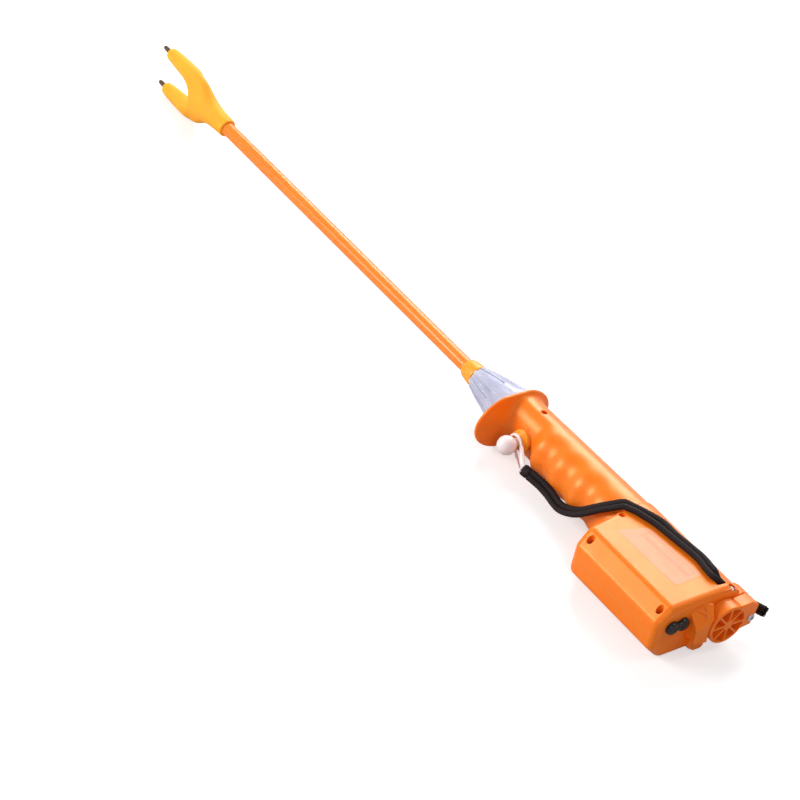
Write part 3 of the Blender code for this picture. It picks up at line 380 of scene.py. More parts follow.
POTTING = moulded("black_potting", (0.03, 0.03, 0.035), (0.022, 0.022, 0.026), 0.5, worn=(0.06, 0.06, 0.06))
BOARD = moulded("board_green", (0.02, 0.16, 0.05), (0.015, 0.13, 0.04), 0.35, worn=(0.1, 0.3, 0.15))
CELL_WRAP = moulded("cell_wrap", (0.03, 0.14, 0.42), (0.025, 0.12, 0.38), 0.3, worn=(0.1, 0.25, 0.5))
INSULATION = moulded("lead_insulation", (0.55, 0.03, 0.02), (0.5, 0.025, 0.018), 0.42, edge=0)
STEEL = metal("screw_steel", (0.72, 0.72, 0.74), (0.55, 0.55, 0.58), 0.28)
BRONZE = metal("dark_bronze", (0.13, 0.085, 0.055), (0.24, 0.16, 0.1), 0.36)
BRASS = metal("contact_brass", (0.78, 0.56, 0.22), (0.62, 0.42, 0.16), 0.3)
CLEAR = clear_plastic()
# The second colour of a braid is painted light on the raised strands of the cords
BRAID = braid("black_braid", (0.006, 0.0035, 0.004), (0.05, 0.031, 0.031))
BRAID_END = braid("black_braid_end", (0.021, 0.013, 0.013), (0.04, 0.025, 0.025))
FILM = film("label_film", (0.86, 0.31, 0.19), (0.9, 0.28, 0.16))
BARS = film("label_bars", (0.84, 0.23, 0.14), (0.86, 0.25, 0.15))
LED_DOME = led_dome()


# Mesh helpers


def from_bmesh(name, scratch):
    mesh = bpy.data.meshes.new(name)
    scratch.to_mesh(mesh)
    scratch.free()
    return link(bpy.data.objects.new(name, mesh))


def joined_faces(scratch, rows, closed=False, caps=True, around=True):
    """Faces between rows of points that all have the same count, around them or from first to last."""
    pairs = list(zip(rows, rows[1:]))
    if closed:
        pairs.append((rows[-1], rows[0]))
    for row, following in pairs:
        for i in range(len(row) if around else len(row) - 1):
            j = (i + 1) % len(row)
            scratch.faces.new((row[i], row[j], following[j], following[i]))
    if caps:
        scratch.faces.new(list(reversed(rows[0])))
        scratch.faces.new(rows[-1])


def skin(name, rings, closed=False, caps=True, weld=False):
    """A mesh over rings of points in millimetres, closed into a loop or with caps."""
    scratch = bmesh.new()
    rows = [[scratch.verts.new(at(*p)) for p in ring] for ring in rings]
    joined_faces(scratch, rows, closed, caps)
    if weld:
        bmesh.ops.remove_doubles(scratch, verts=scratch.verts, dist=0.0002 * MM)
    bmesh.ops.recalc_face_normals(scratch, faces=scratch.faces)
    return from_bmesh(name, scratch)


def prism(name, outline, low_x, high_x):
    return skin(name, [[(x, y, z) for y, z in outline] for x in (low_x, high_x)])


def lathe(name, axis, place, profile, steps, ring=False):
    """A turned piece from (radius, height) points, height along the axis from place."""

    def spot(radius, height, angle):
        across, up = radius * cos(angle), radius * sin(angle)
        along = {"X": (height, across, up), "Y": (across, height, up), "Z": (across, up, height)}[axis]
        return [a + b for a, b in zip(place, along)]

    rings = [[spot(r, h, a) for a in round_angles(steps)] for r, h in profile]
    return skin(name, rings, closed=ring, caps=False, weld=True)


def rod(name, axis, centre, radius, low, high, sides, tip_radius=None):
    tip = radius if tip_radius is None else tip_radius
    place = list(centre)
    place["XYZ".index(axis)] = 0
    return lathe(name, axis, place, [(0, high), (tip, high), (radius, low), (0, low)], sides)


def box(name, low, high):
    outline = [(low[1], low[2]), (high[1], low[2]), (high[1], high[2]), (low[1], high[2])]
    return prism(name, outline, low[0], high[0])


def applied(target):
    """Turns an object's modifiers into its mesh."""
    bpy.context.view_layer.update()
    evaluated = target.evaluated_get(bpy.context.evaluated_depsgraph_get())
    mesh = bpy.data.meshes.new_from_object(evaluated)
    target.modifiers.clear()
    target.data = mesh
    return target


def boolean(target, tools, operation="DIFFERENCE"):
    for tool in tools:
        change = target.modifiers.new("change", "BOOLEAN")
        change.operation = operation
        change.object = tool
    applied(target)
    for tool in tools:
        bpy.data.objects.remove(tool)
    return target


def bevelled(target, width, segments=4, angle=35.0):
    change = target.modifiers.new("edges", "BEVEL")
    change.width = width * MM
    change.segments = segments
    change.limit_method = "ANGLE"
    change.angle_limit = radians(angle)
    return applied(target)


def turned_by(target, matrix, place):
    """Turns a piece that was made about the row frame's own zero, then puts it at a point in millimetres."""
    target.data.transform(Matrix.Translation(-SHIFT))
    target.data.transform(matrix.to_4x4())
    target.data.transform(Matrix.Translation(at(*place)))
    return target


# Shading of round soft pieces
SMOOTH = {"angle": 180.0, "weighted": False}


def dress(made, paint, nodes=(), slot=None, body="body", angle=30.0, weighted=True):
    """Gives a piece its paint and shading and sets it on its body in place of its solids."""
    made.data.materials.clear()
    made.data.materials.append(paint)
    made.data.shade_smooth()
    made.data.set_sharp_from_angle(angle=radians(angle))
    if weighted:
        change = made.modifiers.new("normals", "WEIGHTED_NORMAL")
        change.keep_sharp = True
    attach(made, body)
    if nodes:
        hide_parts(*nodes)
    return made


def arc(centre, radius, start, end, count):
    angles = [radians(start + (end - start) * i / (count - 1)) for i in range(count)]
    return [(centre[0] + radius * cos(a), centre[1] + radius * sin(a)) for a in angles]


def through(points, per_span):
    """Points on a smooth curve through the given ones, by Catmull-Rom spans."""
    given = [Vector(p) for p in points]
    knots = [given[0] * 2 - given[1], *given, given[-1] * 2 - given[-2]]
    route = []
    for i in range(1, len(knots) - 2):
        a, b, c, d = knots[i - 1 : i + 3]
        for step in range(per_span):
            t = step / per_span
            cubic = (3 * b - a - 3 * c + d) * t**3
            square = (2 * a - 5 * b + 4 * c - d) * t**2
            route.append(0.5 * (2 * b + (c - a) * t + square + cubic))
    route.append(given[-1])
    return route


def resampled(route, spacing):
    """Points a fixed distance apart along a route."""
    runs = [0.0]
    for a, b in zip(route, route[1:]):
        runs.append(runs[-1] + (b - a).length)
    count = max(int(round(runs[-1] / spacing)), 2)
    made, k = [], 0
    for number in range(count + 1):
        wanted = runs[-1] * number / count
        while k < len(runs) - 2 and runs[k + 1] < wanted:
            k += 1
        share = (wanted - runs[k]) / max(runs[k + 1] - runs[k], 1e-9)
        made.append(route[k].lerp(route[k + 1], share))
    return made


def length_of(route):
    return sum((b - a).length for a, b in zip(route, route[1:]))


def tube(name, route, radius_at, sides, first_side=(0.0, 0.0, 1.0), values=False):
    """A tube along a route. radius_at(run, angle) gives (radius across, radius up, value)."""
    sideways = Vector(first_side)
    scratch = bmesh.new()
    layer = scratch.verts.layers.float.new("weave") if values else None
    rows, run = [], 0.0
    for number, here in enumerate(route):
        before = route[max(number - 1, 0)]
        after = route[min(number + 1, len(route) - 1)]
        ahead = (after - before).normalized()
        sideways = (sideways - ahead * sideways.dot(ahead)).normalized()
        up = ahead.cross(sideways)
        if number:
            run += (here - before).length
        row = []
        for angle in round_angles(sides):
            across, high, value = radius_at(run, angle)
            place = here + sideways * (across * cos(angle)) + up * (high * sin(angle))
            vert = scratch.verts.new(at(*place))
            if values:
                vert[layer] = value
            row.append(vert)
        rows.append(row)
    joined_faces(scratch, rows)
    bmesh.ops.recalc_face_normals(scratch, faces=scratch.faces)
    return from_bmesh(name, scratch)


def round_wire(radius):
    return lambda run, angle: (radius, radius, 1.0)


# Outlines of the moulding


def ease(t):
    t = min(max(t, 0.0), 1.0)
    return t * t * (3 - 2 * t)


def grip_radius(x, angle):
    facing = max(cos(angle), 0.0) ** 1.2
    hollow = TRIGGER_HOLLOW_DEPTH * ease((x - TRIGGER_HOLLOW_END_X) / TRIGGER_HOLLOW_RAMP)
    for middle in FINGER_HOLLOWS:
        across = (x - middle) / FINGER_HALF_PITCH
        if abs(across) < 1:
            hollow += FINGER_DEPTH * cos(across * pi / 2) ** 2
    return GRIP_FRONT_R - GRIP_TAPER * x - hollow * facing


def guard_radius(angle):
    across, up = cos(angle), sin(angle)
    a = (across / GUARD_HALF_LENGTH) ** 2 + (up / GUARD_HALF_WIDTH) ** 2
    b = -2 * across * GUARD_Y / GUARD_HALF_LENGTH**2
    c = (GUARD_Y / GUARD_HALF_LENGTH) ** 2 - 1
    rim = (-b + sqrt(b * b - 4 * a * c)) / (2 * a)
    if abs(rim * up) > HALF_THICKNESS:
        rim = HALF_THICKNESS / abs(up)
    return rim


def section_ring(x, radius_at, count=GRIP_SIDES, start=0.5):
    return [(x, radius_at(a) * cos(a), radius_at(a) * sin(a)) for a in round_angles(count, start)]


def housing_outline(inset, smooth=True):
    """Across the housing: a round back, two flat faces and a belly with chamfered corners."""
    face = HALF_THICKNESS - inset
    corner = inset * (sqrt(2) - 1)
    corners = (
        (BELLY_Y - CHAMFER - corner, -face),
        (BELLY_Y - inset, -(HALF_THICKNESS - CHAMFER - corner)),
        (BELLY_Y - inset, HALF_THICKNESS - CHAMFER - corner),
        (BELLY_Y - CHAMFER - corner, face),
    )
    back = arc((0, 0), face, 90, 270, 65)
    if not smooth:
        return back + list(corners)
    radius = CORNER_R * (1 - inset / (EDGE_R + 3.0))
    inward = ((-BEND, 1.0), (-1.0, BEND), (-1.0, -BEND), (-BEND, -1.0))
    rounded = []
    for number, ((y, z), (a, b)) in enumerate(zip(corners, inward)):
        start = -90 + 45 * number
        rounded += arc((y + a * radius, z + b * radius), radius, start, start + 45, 7)
    return back + rounded


def housing_hollow():
    outline = housing_outline(WALL, smooth=False)
    front = [(HOUSING_FRONT_X - WALL - HOUSING_SLANT * y, y, z) for y, z in outline]
    rear = [(HOUSING_REAR_X + WALL + 0.8, y, z) for y, z in outline]
    return skin("hollow", [rear, front])


def rounded_housing():
    """The housing with its front and rear edges rounded."""
    steps = 9
    rear, front = [], []
    for number in range(steps):
        angle = pi / 2 * number / (steps - 1)
        back = EDGE_R * (1 - cos(angle))
        outline = housing_outline(EDGE_R * (1 - sin(angle)))
        rear.append([(HOUSING_REAR_X + back, y, z) for y, z in outline])
        front.append([(HOUSING_FRONT_X - back - HOUSING_SLANT * y, y, z) for y, z in outline])
    return skin("housing", rear + front[::-1])


def grip_and_guard():

    def blend(share):
        return lambda a: share * guard_radius(a) + (1 - share) * grip_radius(GUARD_X - 12, a)

    rings = []
    x = GRIP_REAR_X
    while x < -16.0:
        rings.append(section_ring(x, lambda a, x=x: grip_radius(x, a)))
        x += 1.5 if x > -136.0 else 8.0
    rear_face = GUARD_X - GUARD_THICKNESS
    fillet = [(12.0, 0.0), (7.6, 0.03), (5.0, 0.1), (2.9, 0.24), (1.3, 0.5), (0.4, 0.82), (0.0, 0.97)]
    for back, share in through(fillet, 4)[6:-1]:
        rings.append(section_ring(rear_face - back, blend(share)))
    rim = [(0.0, 0.9), (0.2, 0.45), (0.55, 0.12), (1.0, 0.0)]
    rim += [(1.6, 0.0), (2.05, 0.12), (2.4, 0.45), (2.6, 0.9)]
    for ahead, inward in rim:
        rings.append(section_ring(rear_face + ahead, lambda a, inward=inward: guard_radius(a) - inward))
    rings += [section_ring(x, lambda a: NOSE_R) for x in (GUARD_X, NOSE_FRONT_X)]
    return skin("grip_and_guard", rings)


def grip_hollow():
    places = (-178, -158, -140, -131, -117, -104.5, -92, -79.5, -67, -56, -50, -45, -41, -30, -17)
    return skin("grip_hollow", [section_ring(x, lambda a: grip_radius(x, a) - WALL, 28) for x in places])


# Rear of the housing: a sloping shoulder with an arrow, a foot and the ear block

RAMP_POINT = Vector((-257.5, 20.9, 20.6))
RAMP_NORMAL = Vector((-0.633, 0.323, 0.704)).normalized()
ARROW_TIP = Vector((-268.08, 16.25, 13.21))
ARROW_ALONG = Vector((-0.721, -0.576, -0.385)).normalized()
ARROW_ACROSS = RAMP_NORMAL.cross(ARROW_ALONG)
SHOULDER_REAR_X = -270.5
SHOULDER_LOW_Z = -11.0
SWING_R = DISC_R - COVER_PIVOT[0] + 0.6
EAR = [(-8.0, 15.8), (-21.0, 15.8), (-28.0, 11.0), (-26.6, 2.0), (-24.8, -7.8), (-8.0, -9.6)]


def shoulder_outline(inset):
    lowest = asin(SHOULDER_LOW_Z / SWING_R) * 180 / pi
    middle = arc(COVER_PIVOT, SWING_R + inset, lowest, 28, 24)
    rest = [(26.0, 20.0), (31.5, 13.0), (31.5, -7.5), (28.5, SHOULDER_LOW_Z)]
    centre = (23.0, 0.0)
    return middle + [(y - (y - centre[0]) * inset / 9.0, z - (z - centre[1]) * inset / 16.0) for y, z in rest]


def rear_shoulder():
    rear = SHOULDER_REAR_X
    places = ((HOUSING_REAR_X + 6.0, 0.0), (rear + 1.0, 0.0), (rear + 0.3, 0.3), (rear, 1.0))
    made = skin("shoulder", [[(x, y, z) for y, z in shoulder_outline(inset)] for x, inset in places])
    above = box("above_ramp", (-40, -40, 0), (40, 40, 40))
    turn = Matrix((ARROW_ALONG, ARROW_ACROSS, RAMP_NORMAL)).transposed()
    turned_by(above, turn, RAMP_POINT)
    boolean(made, [above])
    return bevelled(made, 1.4, angle=30.0)


def arrow_piece(name, outline, height):
    """A raised shape on the ramp, from (along, across) points."""
    middle = Vector((sum(p[0] for p in outline), sum(p[1] for p in outline))) / len(outline)
    rings = []
    for up, inset in ((-0.8, 0.0), (height - 0.25, 0.0), (height, 0.25)):
        spots = [Vector(p) + (middle - Vector(p)).normalized() * inset for p in outline]
        rings.append([ARROW_TIP + ARROW_ALONG * a + ARROW_ACROSS * b + RAMP_NORMAL * up for a, b in spots])
    return skin(name, rings)


def arrow_rib(name, start, end, start_w, end_w, height):
    a, b = Vector(start), Vector(end)
    side = (b - a).normalized()
    side = Vector((-side[1], side[0]))
    outline = [a + side * start_w / 2, a - side * start_w / 2, b - side * end_w / 2, b + side * end_w / 2]
    return arrow_piece(name, outline, height)


def arrow():
    return [
        arrow_rib("arrow_tail_1", (-13.4, 4.0), (-4.3, 0.2), 0.7, 2.8, 0.8),
        arrow_rib("arrow_tail_2", (-13.7, -4.0), (-4.3, -1.2), 0.7, 2.8, 0.85),
        arrow_piece("arrow_head", [(-8.1, 3.6), (-6.4, 0.6), (-4.7, -2.6), (-3.4, -5.6), (0.0, 0.0)], 0.9),
    ]


def rear_foot():
    outline = arc((16.4, -19.6), 3.6, 180, 270, 10)
    outline += [(22.0, -23.2), (29.0, -18.3), (29.0, -10.0), (14.9, -10.0)]
    return bevelled(prism("foot", outline, -265.0, HOUSING_REAR_X + 5.0), 1.0)


def strap_passage():
    slot = bevelled(box("slot", (-5.9, -26.0, -2.8), (5.9, 26.0, 2.8)), 1.2, 3)
    return turned_by(slot, Matrix.Rotation(radians(45), 3, "X"), (-246.4, -13.5, 13.4))


def screw_boss(x, y, top):
    """A post through both shells that ends inside the wall, on the chamfer too."""
    around = arc((x, y), BOSS_R, 0, 345, 24)
    slope = BELLY_Y + HALF_THICKNESS - CHAMFER - 1.0
    return skin("screw_boss", [[(a, b, side * min(top, slope - b)) for a, b in around] for side in (-1, 1)])


def moulding():
    body = grip_and_guard()
    boolean(body, [rounded_housing(), rear_shoulder(), rear_foot()], "UNION")
    ear = bevelled(prism("ear_block", EAR, HOUSING_REAR_X, -247.0), 1.0)
    boss = rod("trigger_boss", "Y", (TRIGGER_X, 0, 0), BEZEL_R + 1.2, 4.0, BEZEL_SEAT_Y - GAP, 64)
    boolean(body, [ear, boss, *arrow()], "UNION")
    boolean(body, [grip_hollow(), housing_hollow()])
    corner = [(0, 12), (0, 24), (-8, 23), (-16, 18.6), (-23, 8), (-24, -7), (-16, -7), (-12.4, 0), (-9, 9)]
    corner = prism("strap_corner", corner, -258, -236)
    bosses = [screw_boss(x, y, BOSS_TOPS[number]) for number, (x, y, head) in enumerate(SHELL_SCREWS)]
    clamp = rod("tube_clamp", "X", (0, 0, 0), 9.0, -17.4, NOSE_FRONT_X - 1.0, 32)
    boolean(body, [corner, clamp, *bosses], "UNION")
    y, z = PLUG_CENTRE
    half = PRONG_SPACING / 2
    window = arc((y + half, z), 3.6, -90, 90, 12) + arc((y - half, z), 3.6, 90, 270, 12)
    holes = [
        rod("tube_seat", "X", (0, 0, 0), TUBE_R + GAP, TUBE_REAR_X - GAP, 20.0, 48),
        rod("lead_way", "X", (0, 0, 0), 11.0, -18.2, TUBE_REAR_X - 0.1, 24, tip_radius=5.0),
        rod("trigger_hole", "Y", (TRIGGER_X, 0, 0), BEZEL_BODY_R + GAP, 2.6, 22.0, 64),
        rod("bezel_seat", "Y", (TRIGGER_X, 0, 0), BEZEL_R + GAP, BEZEL_SEAT_Y - GAP, 24.0, 64),
        rod("hatch_hole", "X", (0, 0, 0), CELL_R + 0.6, -264.0, -250.0, 48),
        rod("pivot_hole", "X", (0, *COVER_PIVOT), 1.2, -261.0, -250.0, 16),
        prism("socket_window", window, -263.0, -254.0),
        strap_passage(),
    ]
    return boolean(body, holes)


def half_shell(whole, node_name, side):
    """One half of the moulding: side is 1 for the upper shell and -1 for the lower."""
    shell = link(bpy.data.objects.new("body_" + node_name, whole.data.copy()))
    low, high = sorted((-side * 60.0, side * SEAM / 2))
    tools = [box("split", (-400, -200, low), (200, 200, high))]
    for x, y, head in SHELL_SCREWS:
        if side > 0:
            tools.append(rod("shank_way", "Z", (x, y, 0), 1.9, -1.0, head + 1.0, 16))
            tools.append(rod("head_well", "Z", (x, y, 0), 2.9, head, 30.0, 40))
        else:
            tools.append(rod("pilot", "Z", (x, y, 0), 1.7, -12.6, 1.0, 16))
    if side > 0:
        tools.append(rod("bar_screw_way", "Z", (*BAR_SCREW, 0), 1.4, 12.5, 30.0, 16))
        tools.append(rod("bar_screw_seat", "Z", (*BAR_SCREW, 0), 3.0, BAR_SEAT_Z, 30.0, 40))
    boolean(shell, tools)
    dress(shell, ORANGE, [node_name], "orange_abs", angle=38.0)


def build_shells():
    whole = moulding()
    half_shell(whole, "shell_upper", 1)
    half_shell(whole, "shell_lower", -1)
    bpy.data.objects.remove(whole)


# Label: a plain generic sticker with bars

LABEL_LENGTH = 62.0
LABEL_WIDTH = 26.0
LABEL = (Vector((-239.4, 33.0)), Vector((-238.0, 5.9)), Vector((-178.7, 9.8)), Vector((-170.5, 35.1)))


def on_label(s, t):
    """A point of the label's face: s runs along the tool, t across it."""
    rear = LABEL[0].lerp(LABEL[1], t)
    front = LABEL[3].lerp(LABEL[2], t)
    return rear.lerp(front, s)


def label_patch(name, s0, s1, t0, t1, low, high, round_r=0.0):
    """A thin plate between two pairs of label coordinates, low and high above the housing's face."""
    outline = []
    for s, t, ds, dt in ((s0, t0, 1, 1), (s1, t0, -1, 1), (s1, t1, -1, -1), (s0, t1, 1, -1)):
        corner = []
        for number in range(6 if round_r else 1):
            angle = pi / 2 * number / 5
            a, b = round_r * (1 - cos(angle)), round_r * (1 - sin(angle))
            corner.append(on_label(s + ds * a / LABEL_LENGTH, t + dt * b / LABEL_WIDTH))
        if ds * dt < 0:
            corner.reverse()
        outline += corner
    return skin(name, [[(*point, HALF_THICKNESS + up) for point in outline] for up in (low, high)])


def joined(name, pieces):
    scratch = bmesh.new()
    for piece in pieces:
        scratch.from_mesh(piece.data)
        bpy.data.objects.remove(piece)
    return from_bmesh(name, scratch)


def build_label():
    sticker = label_patch("label_sticker", 0.0, 1.0, 0.0, 1.0, 0.02, 0.1, 3.2)
    dress(sticker, FILM, slot="orange_abs")
    spans = (
        (0.06, 0.9, 0.52, 0.68),
        (0.06, 0.9, 0.86, 0.9),
        (0.06, 0.08, 0.68, 0.86),
        (0.88, 0.9, 0.68, 0.86),
        (0.2, 0.62, 0.74, 0.79),
        (0.12, 0.4, 0.3, 0.33),
        (0.12, 0.55, 0.42, 0.45),
    )
    bars = [label_patch("bar", *span, 0.11, 0.13) for span in spans]
    dress(joined("label_bars", bars), BARS, slot="orange_abs")


# Screws


def screw(name, axis, place, head_r, head_h, shank_r, length, nodes, up=1):
    """Round-headed screw with a cross recess."""
    profile = [(0, head_h)]
    for number in range(1, 9):
        angle = pi / 2 * number / 8
        profile.append((head_r * sin(angle), head_h * (0.35 + 0.65 * cos(angle))))
    profile += [(head_r, 0), (shank_r, 0), (shank_r, -length + shank_r), (0, -length)]
    made = lathe(name, axis, place, [(r, up * h) for r, h in profile], 40)
    long, short = head_r * 0.62, head_r * 0.16
    low, high = sorted((up * head_h * 0.35, up * (head_h + 1.0)))
    tools = []
    for half_a, half_b in ((short, long), (long, short)):
        a, b = (-half_a, -half_b, low), (half_a, half_b, high)
        if axis == "X":
            a, b = (low, -half_a, -half_b), (high, half_a, half_b)
        tools.append(box("slot", [p + q for p, q in zip(a, place)], [p + q for p, q in zip(b, place)]))
    boolean(made, tools)
    dress(made, STEEL, nodes, "screw_steel")


def build_screws():
    for number, (x, y, head) in enumerate(SHELL_SCREWS):
        name = f"shell_screw_{number + 1}"
        screw("dressed_" + name, "Z", (x, y, head + GAP), 2.5, 1.8, 1.4, head + 12.0, [name])
    screw("dressed_bar_screw", "Z", (*BAR_SCREW, BAR_SEAT_Z + GAP), 2.6, 1.6, 1.1, 6.0, ["strap_bar_screw"])
    place = (COVER_OUTER_X - 0.1, *COVER_PIVOT)
    screw("dressed_cover_screw", "X", place, 3.3, 1.5, 1.5, 19.0, ["cover_screw"], up=-1)


# Tube, collar, lamp, fork and electrodes


def build_tube():
    profile = [
        (TUBE_BORE_R, TUBE_FRONT_X),
        (TUBE_R - 0.3, TUBE_FRONT_X),
        (TUBE_R, TUBE_FRONT_X - 0.3),
        (TUBE_R, TUBE_REAR_X),
        (TUBE_BORE_R, TUBE_REAR_X),
    ]
    made = lathe("long_tube", "X", (0, 0, 0), profile, 96, ring=True)
    dress(made, TUBE_ORANGE, ["shaft_tube"], "orange_abs")


def build_collar():
    bore = TUBE_R + 0.12
    side = [(7.1, 0.0), (7.9, 0.6), (8.35, 2.0), (8.9, 4.2)]
    side += [(9.5, 8.4), (9.85, 12.4), (9.75, 14.2), (9.3, 14.7)]
    profile = [(bore, COLLAR_FRONT_X), (6.8, COLLAR_FRONT_X)]
    profile += through([(r, COLLAR_FRONT_X - h) for r, h in side], 4)
    profile.append((bore, COVER_FRONT_X + GAP))
    made = lathe("collar", "X", (0, 0, 0), profile, 96, ring=True)
    dress(made, AMBER, ["shaft_collar"], "amber_abs")


def cover_radius(x):
    share = (COVER_FRONT_X - x) / (COVER_FRONT_X - GUARD_X)
    return COVER_FRONT_R + (COVER_REAR_R - COVER_FRONT_R) * share**0.85


def flute_depth(x, angle):
    """Depth of the recess at a place on the cone, with a blunt rear end and soft walls."""
    period = 2 * pi / FLUTES
    off = abs((angle - FLUTE_TURN + period / 2) % period - period / 2)
    across = ease((FLUTE_HALF_ANGLE - off) / radians(1.6) + 0.5)
    rear = FLUTE_REAR_X + FLUTE_BOW * (off / FLUTE_HALF_ANGLE) ** 2
    return FLUTE_DEPTH * across * ease((x - rear) / 1.3 + 0.5)


def build_lamp_cover():
    rear, inner_front, bore = GUARD_X + GAP, COVER_FRONT_X - 2.2, TUBE_R + GAP

    def outer(x, less=0.0):
        return section_ring(x, lambda a: cover_radius(x) - flute_depth(x, a) - less, 360, 0.0)

    def plain(x, radius):
        return section_ring(x, lambda a: radius, 360, 0.0)

    rings = [plain(x, cover_radius(x) - COVER_WALL - 0.1) for x in (inner_front, 36.0, 24.0, 10.0, rear)]
    rings.append(outer(rear, 0.5))
    rings += [outer(x) for x in (rear + 0.5, 4.0, 10.0, 14.5)]
    rings += [outer(FLUTE_REAR_X - FLUTE_BOW + 0.3 * i) for i in range(14)]
    rings += [outer(x) for x in (24.0, 32.0, 40.0)]
    rings += [outer(COVER_FRONT_X - 0.6), outer(COVER_FRONT_X - 0.2, 0.15), outer(COVER_FRONT_X, 0.6)]
    rings += [plain(COVER_FRONT_X, bore), plain(inner_front, bore)]
    made = skin("lamp_cone", rings, closed=True, caps=False)
    dress(made, CLEAR, ["lamp_cover"], "clear_lens", angle=60.0, weighted=False)


def build_fork():
    around = round_angles(10)
    upper, lower = around[:6], around[6:]
    body = (
        (FORK_MOUTH_X, 9.0, 9.0),
        (FORK_MOUTH_X + 1.6, 9.1, 9.1),
        (452.0, 9.6, 9.9),
        (464.0, 10.3, 12.2),
        (473.0, 10.4, 18.0),
        (481.5, 9.8, 24.6),
        (489.0, 9.3, 26.0),
    )
    half_rings = [[(x, half_y * cos(a), half_z * sin(a)) for a in upper] for x, half_y, half_z in body]
    crotch = [(FORK_CROTCH_X + 1.0, 8.8 * cos(a), 17.0 + 8.6 * sin(a)) for a in upper]
    crotch += [(FORK_CROTCH_X, 7.4 * cos(a), 0) for a in lower]
    prong = (
        (502.5, PRONG_Z + 0.2, 8.6),
        (513.0, PRONG_Z + 0.6, 8.1),
        (526.0, PRONG_Z + 1.0, 7.2),
        (535.6, PRONG_Z + 1.2, 6.5),
        (FORK_END_X - 0.6, PRONG_Z + 1.3, 5.6),
        (FORK_END_X, PRONG_Z + 1.3, 4.4),
    )
    whole_rings = [crotch] + [[(x, r * cos(a), z + r * sin(a)) for a in around] for x, z, r in prong]
    scratch = bmesh.new()
    rows = [[scratch.verts.new(Vector(p) * MM) for p in ring] for ring in half_rings + whole_rings]
    half_rows, whole_rows = rows[: len(body)], rows[len(body) :]
    before, saddle, last = half_rows[-1], whole_rows[0], len(upper) - 1
    joined_faces(scratch, [*half_rows, saddle[: last + 1]], caps=False, around=False)
    joined_faces(scratch, whole_rows, caps=False)
    scratch.faces.new((before[0], saddle[0], saddle[-1]))
    scratch.faces.new((before[last], saddle[last], saddle[last + 1]))
    scratch.faces.new(list(reversed(rows[0])))
    scratch.faces.new(rows[-1])
    bmesh.ops.recalc_face_normals(scratch, faces=scratch.faces)
    fork = from_bmesh("fork", scratch)
    mirror = fork.modifiers.new("mirror", "MIRROR")
    mirror.use_axis = (False, False, True)
    mirror.merge_threshold = 0.00005
    rounded = fork.modifiers.new("round", "SUBSURF")
    rounded.levels = rounded.render_levels = 3
    applied(fork)
    fork.data.transform(Matrix.Translation(SHIFT))
    tools = [rod("socket", "X", (0, 0, 0), TUBE_R + 0.15, 430.0, TUBE_FRONT_X + GAP, 64)]
    for side in (1, -1):
        z = side * PIN_Z
        tools.append(rod("pin_hole", "X", (0, 0, z), PIN_R + 0.1, PIN_REAR_X - GAP, 545.0, 40))
    boolean(fork, tools)
    dress(fork, VINYL, ["fork_sleeve"], "yellow_vinyl", angle=50.0)


def build_electrodes():
    tip = [(0, 0.0), (0.7, 0.1), (1.15, 0.4), (1.5, 0.9), (1.8, 1.6), (2.05, 2.7), (2.22, 4.0), (PIN_R, 6.0)]
    profile = [(r, TIP_X - back) for r, back in tip]
    profile += [(PIN_R, TIP_X - 8.2), (2.05, TIP_X - 8.5), (2.05, TIP_X - 8.9), (PIN_R, TIP_X - 9.2)]
    profile += [(PIN_R, PIN_REAR_X + 2.0), (1.5, PIN_REAR_X), (0, PIN_REAR_X)]
    for side, label in ((1, "upper"), (-1, "lower")):
        place = (0, 0, side * PIN_Z)
        pin = lathe(f"pin_{label}", "X", place, profile, 48)
        dress(pin, BRONZE, [f"electrode_{label}"], "dark_bronze")


# Trigger


def build_trigger():
    bore = NECK_R + 0.35
    bezel = [(bore, BEZEL_TOP_Y), (6.2, BEZEL_TOP_Y), (6.8, 20.1), (7.25, 19.8), (7.5, 19.3), (7.55, 18.6)]
    bezel += [(7.6, 18.2), (7.8, 18.0), (8.3, 17.9), (8.8, 17.6), (9.15, 17.1), (9.3, 16.4)]
    bezel += [(BEZEL_R, BEZEL_SEAT_Y), (BEZEL_BODY_R, BEZEL_SEAT_Y), (BEZEL_BODY_R, BEZEL_FOOT_Y + 1.3)]
    bezel += [(BEZEL_R, BEZEL_FOOT_Y + 1.3), (BEZEL_R, BEZEL_FOOT_Y), (bore, BEZEL_FOOT_Y)]
    made = lathe("bezel", "Y", (TRIGGER_X, 0, 0), bezel, 96, ring=True)
    dress(made, AMBER, ["trigger_bezel"], "amber_abs", angle=50.0)
    waist = asin(NECK_R / BALL_R)
    ball = [(0, BALL_R)]
    for number in range(1, 33):
        angle = (pi - waist) * number / 32
        ball.append((BALL_R * sin(angle), BALL_R * cos(angle)))
    stem = [(NECK_R, 9.7 - BALL_Y), (6.4, 9.7 - BALL_Y), (6.4, 8.2 - BALL_Y), (2.0, 8.2 - BALL_Y)]
    stem += [(2.0, STEM_END_Y - BALL_Y), (0, STEM_END_Y - BALL_Y)]
    made = lathe("ball_button", "Y", (TRIGGER_X, BALL_Y, 0), ball + stem, 80)
    dress(made, WHITE, ["trigger_button"], "white_nylon", body="trigger")


def build_spring():
    """The coil under the trigger, at its rest length."""
    low, high, radius, turns, steps = 3.0, 7.8, 3.8, 4, 24
    coil = []
    for number in range(turns * steps + 1):
        angle = 2 * pi * number / steps
        y = low + (high - low) * number / (turns * steps)
        coil.append(Vector((TRIGGER_X + radius * cos(angle), y, radius * sin(angle))))
    made = tube("coil_spring", coil, round_wire(0.3), 12, first_side=(0.0, 1.0, 0.0))
    dress(made, STEEL, ["trigger_spring"], "screw_steel", **SMOOTH)
    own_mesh(made)


# Rear cover and plug


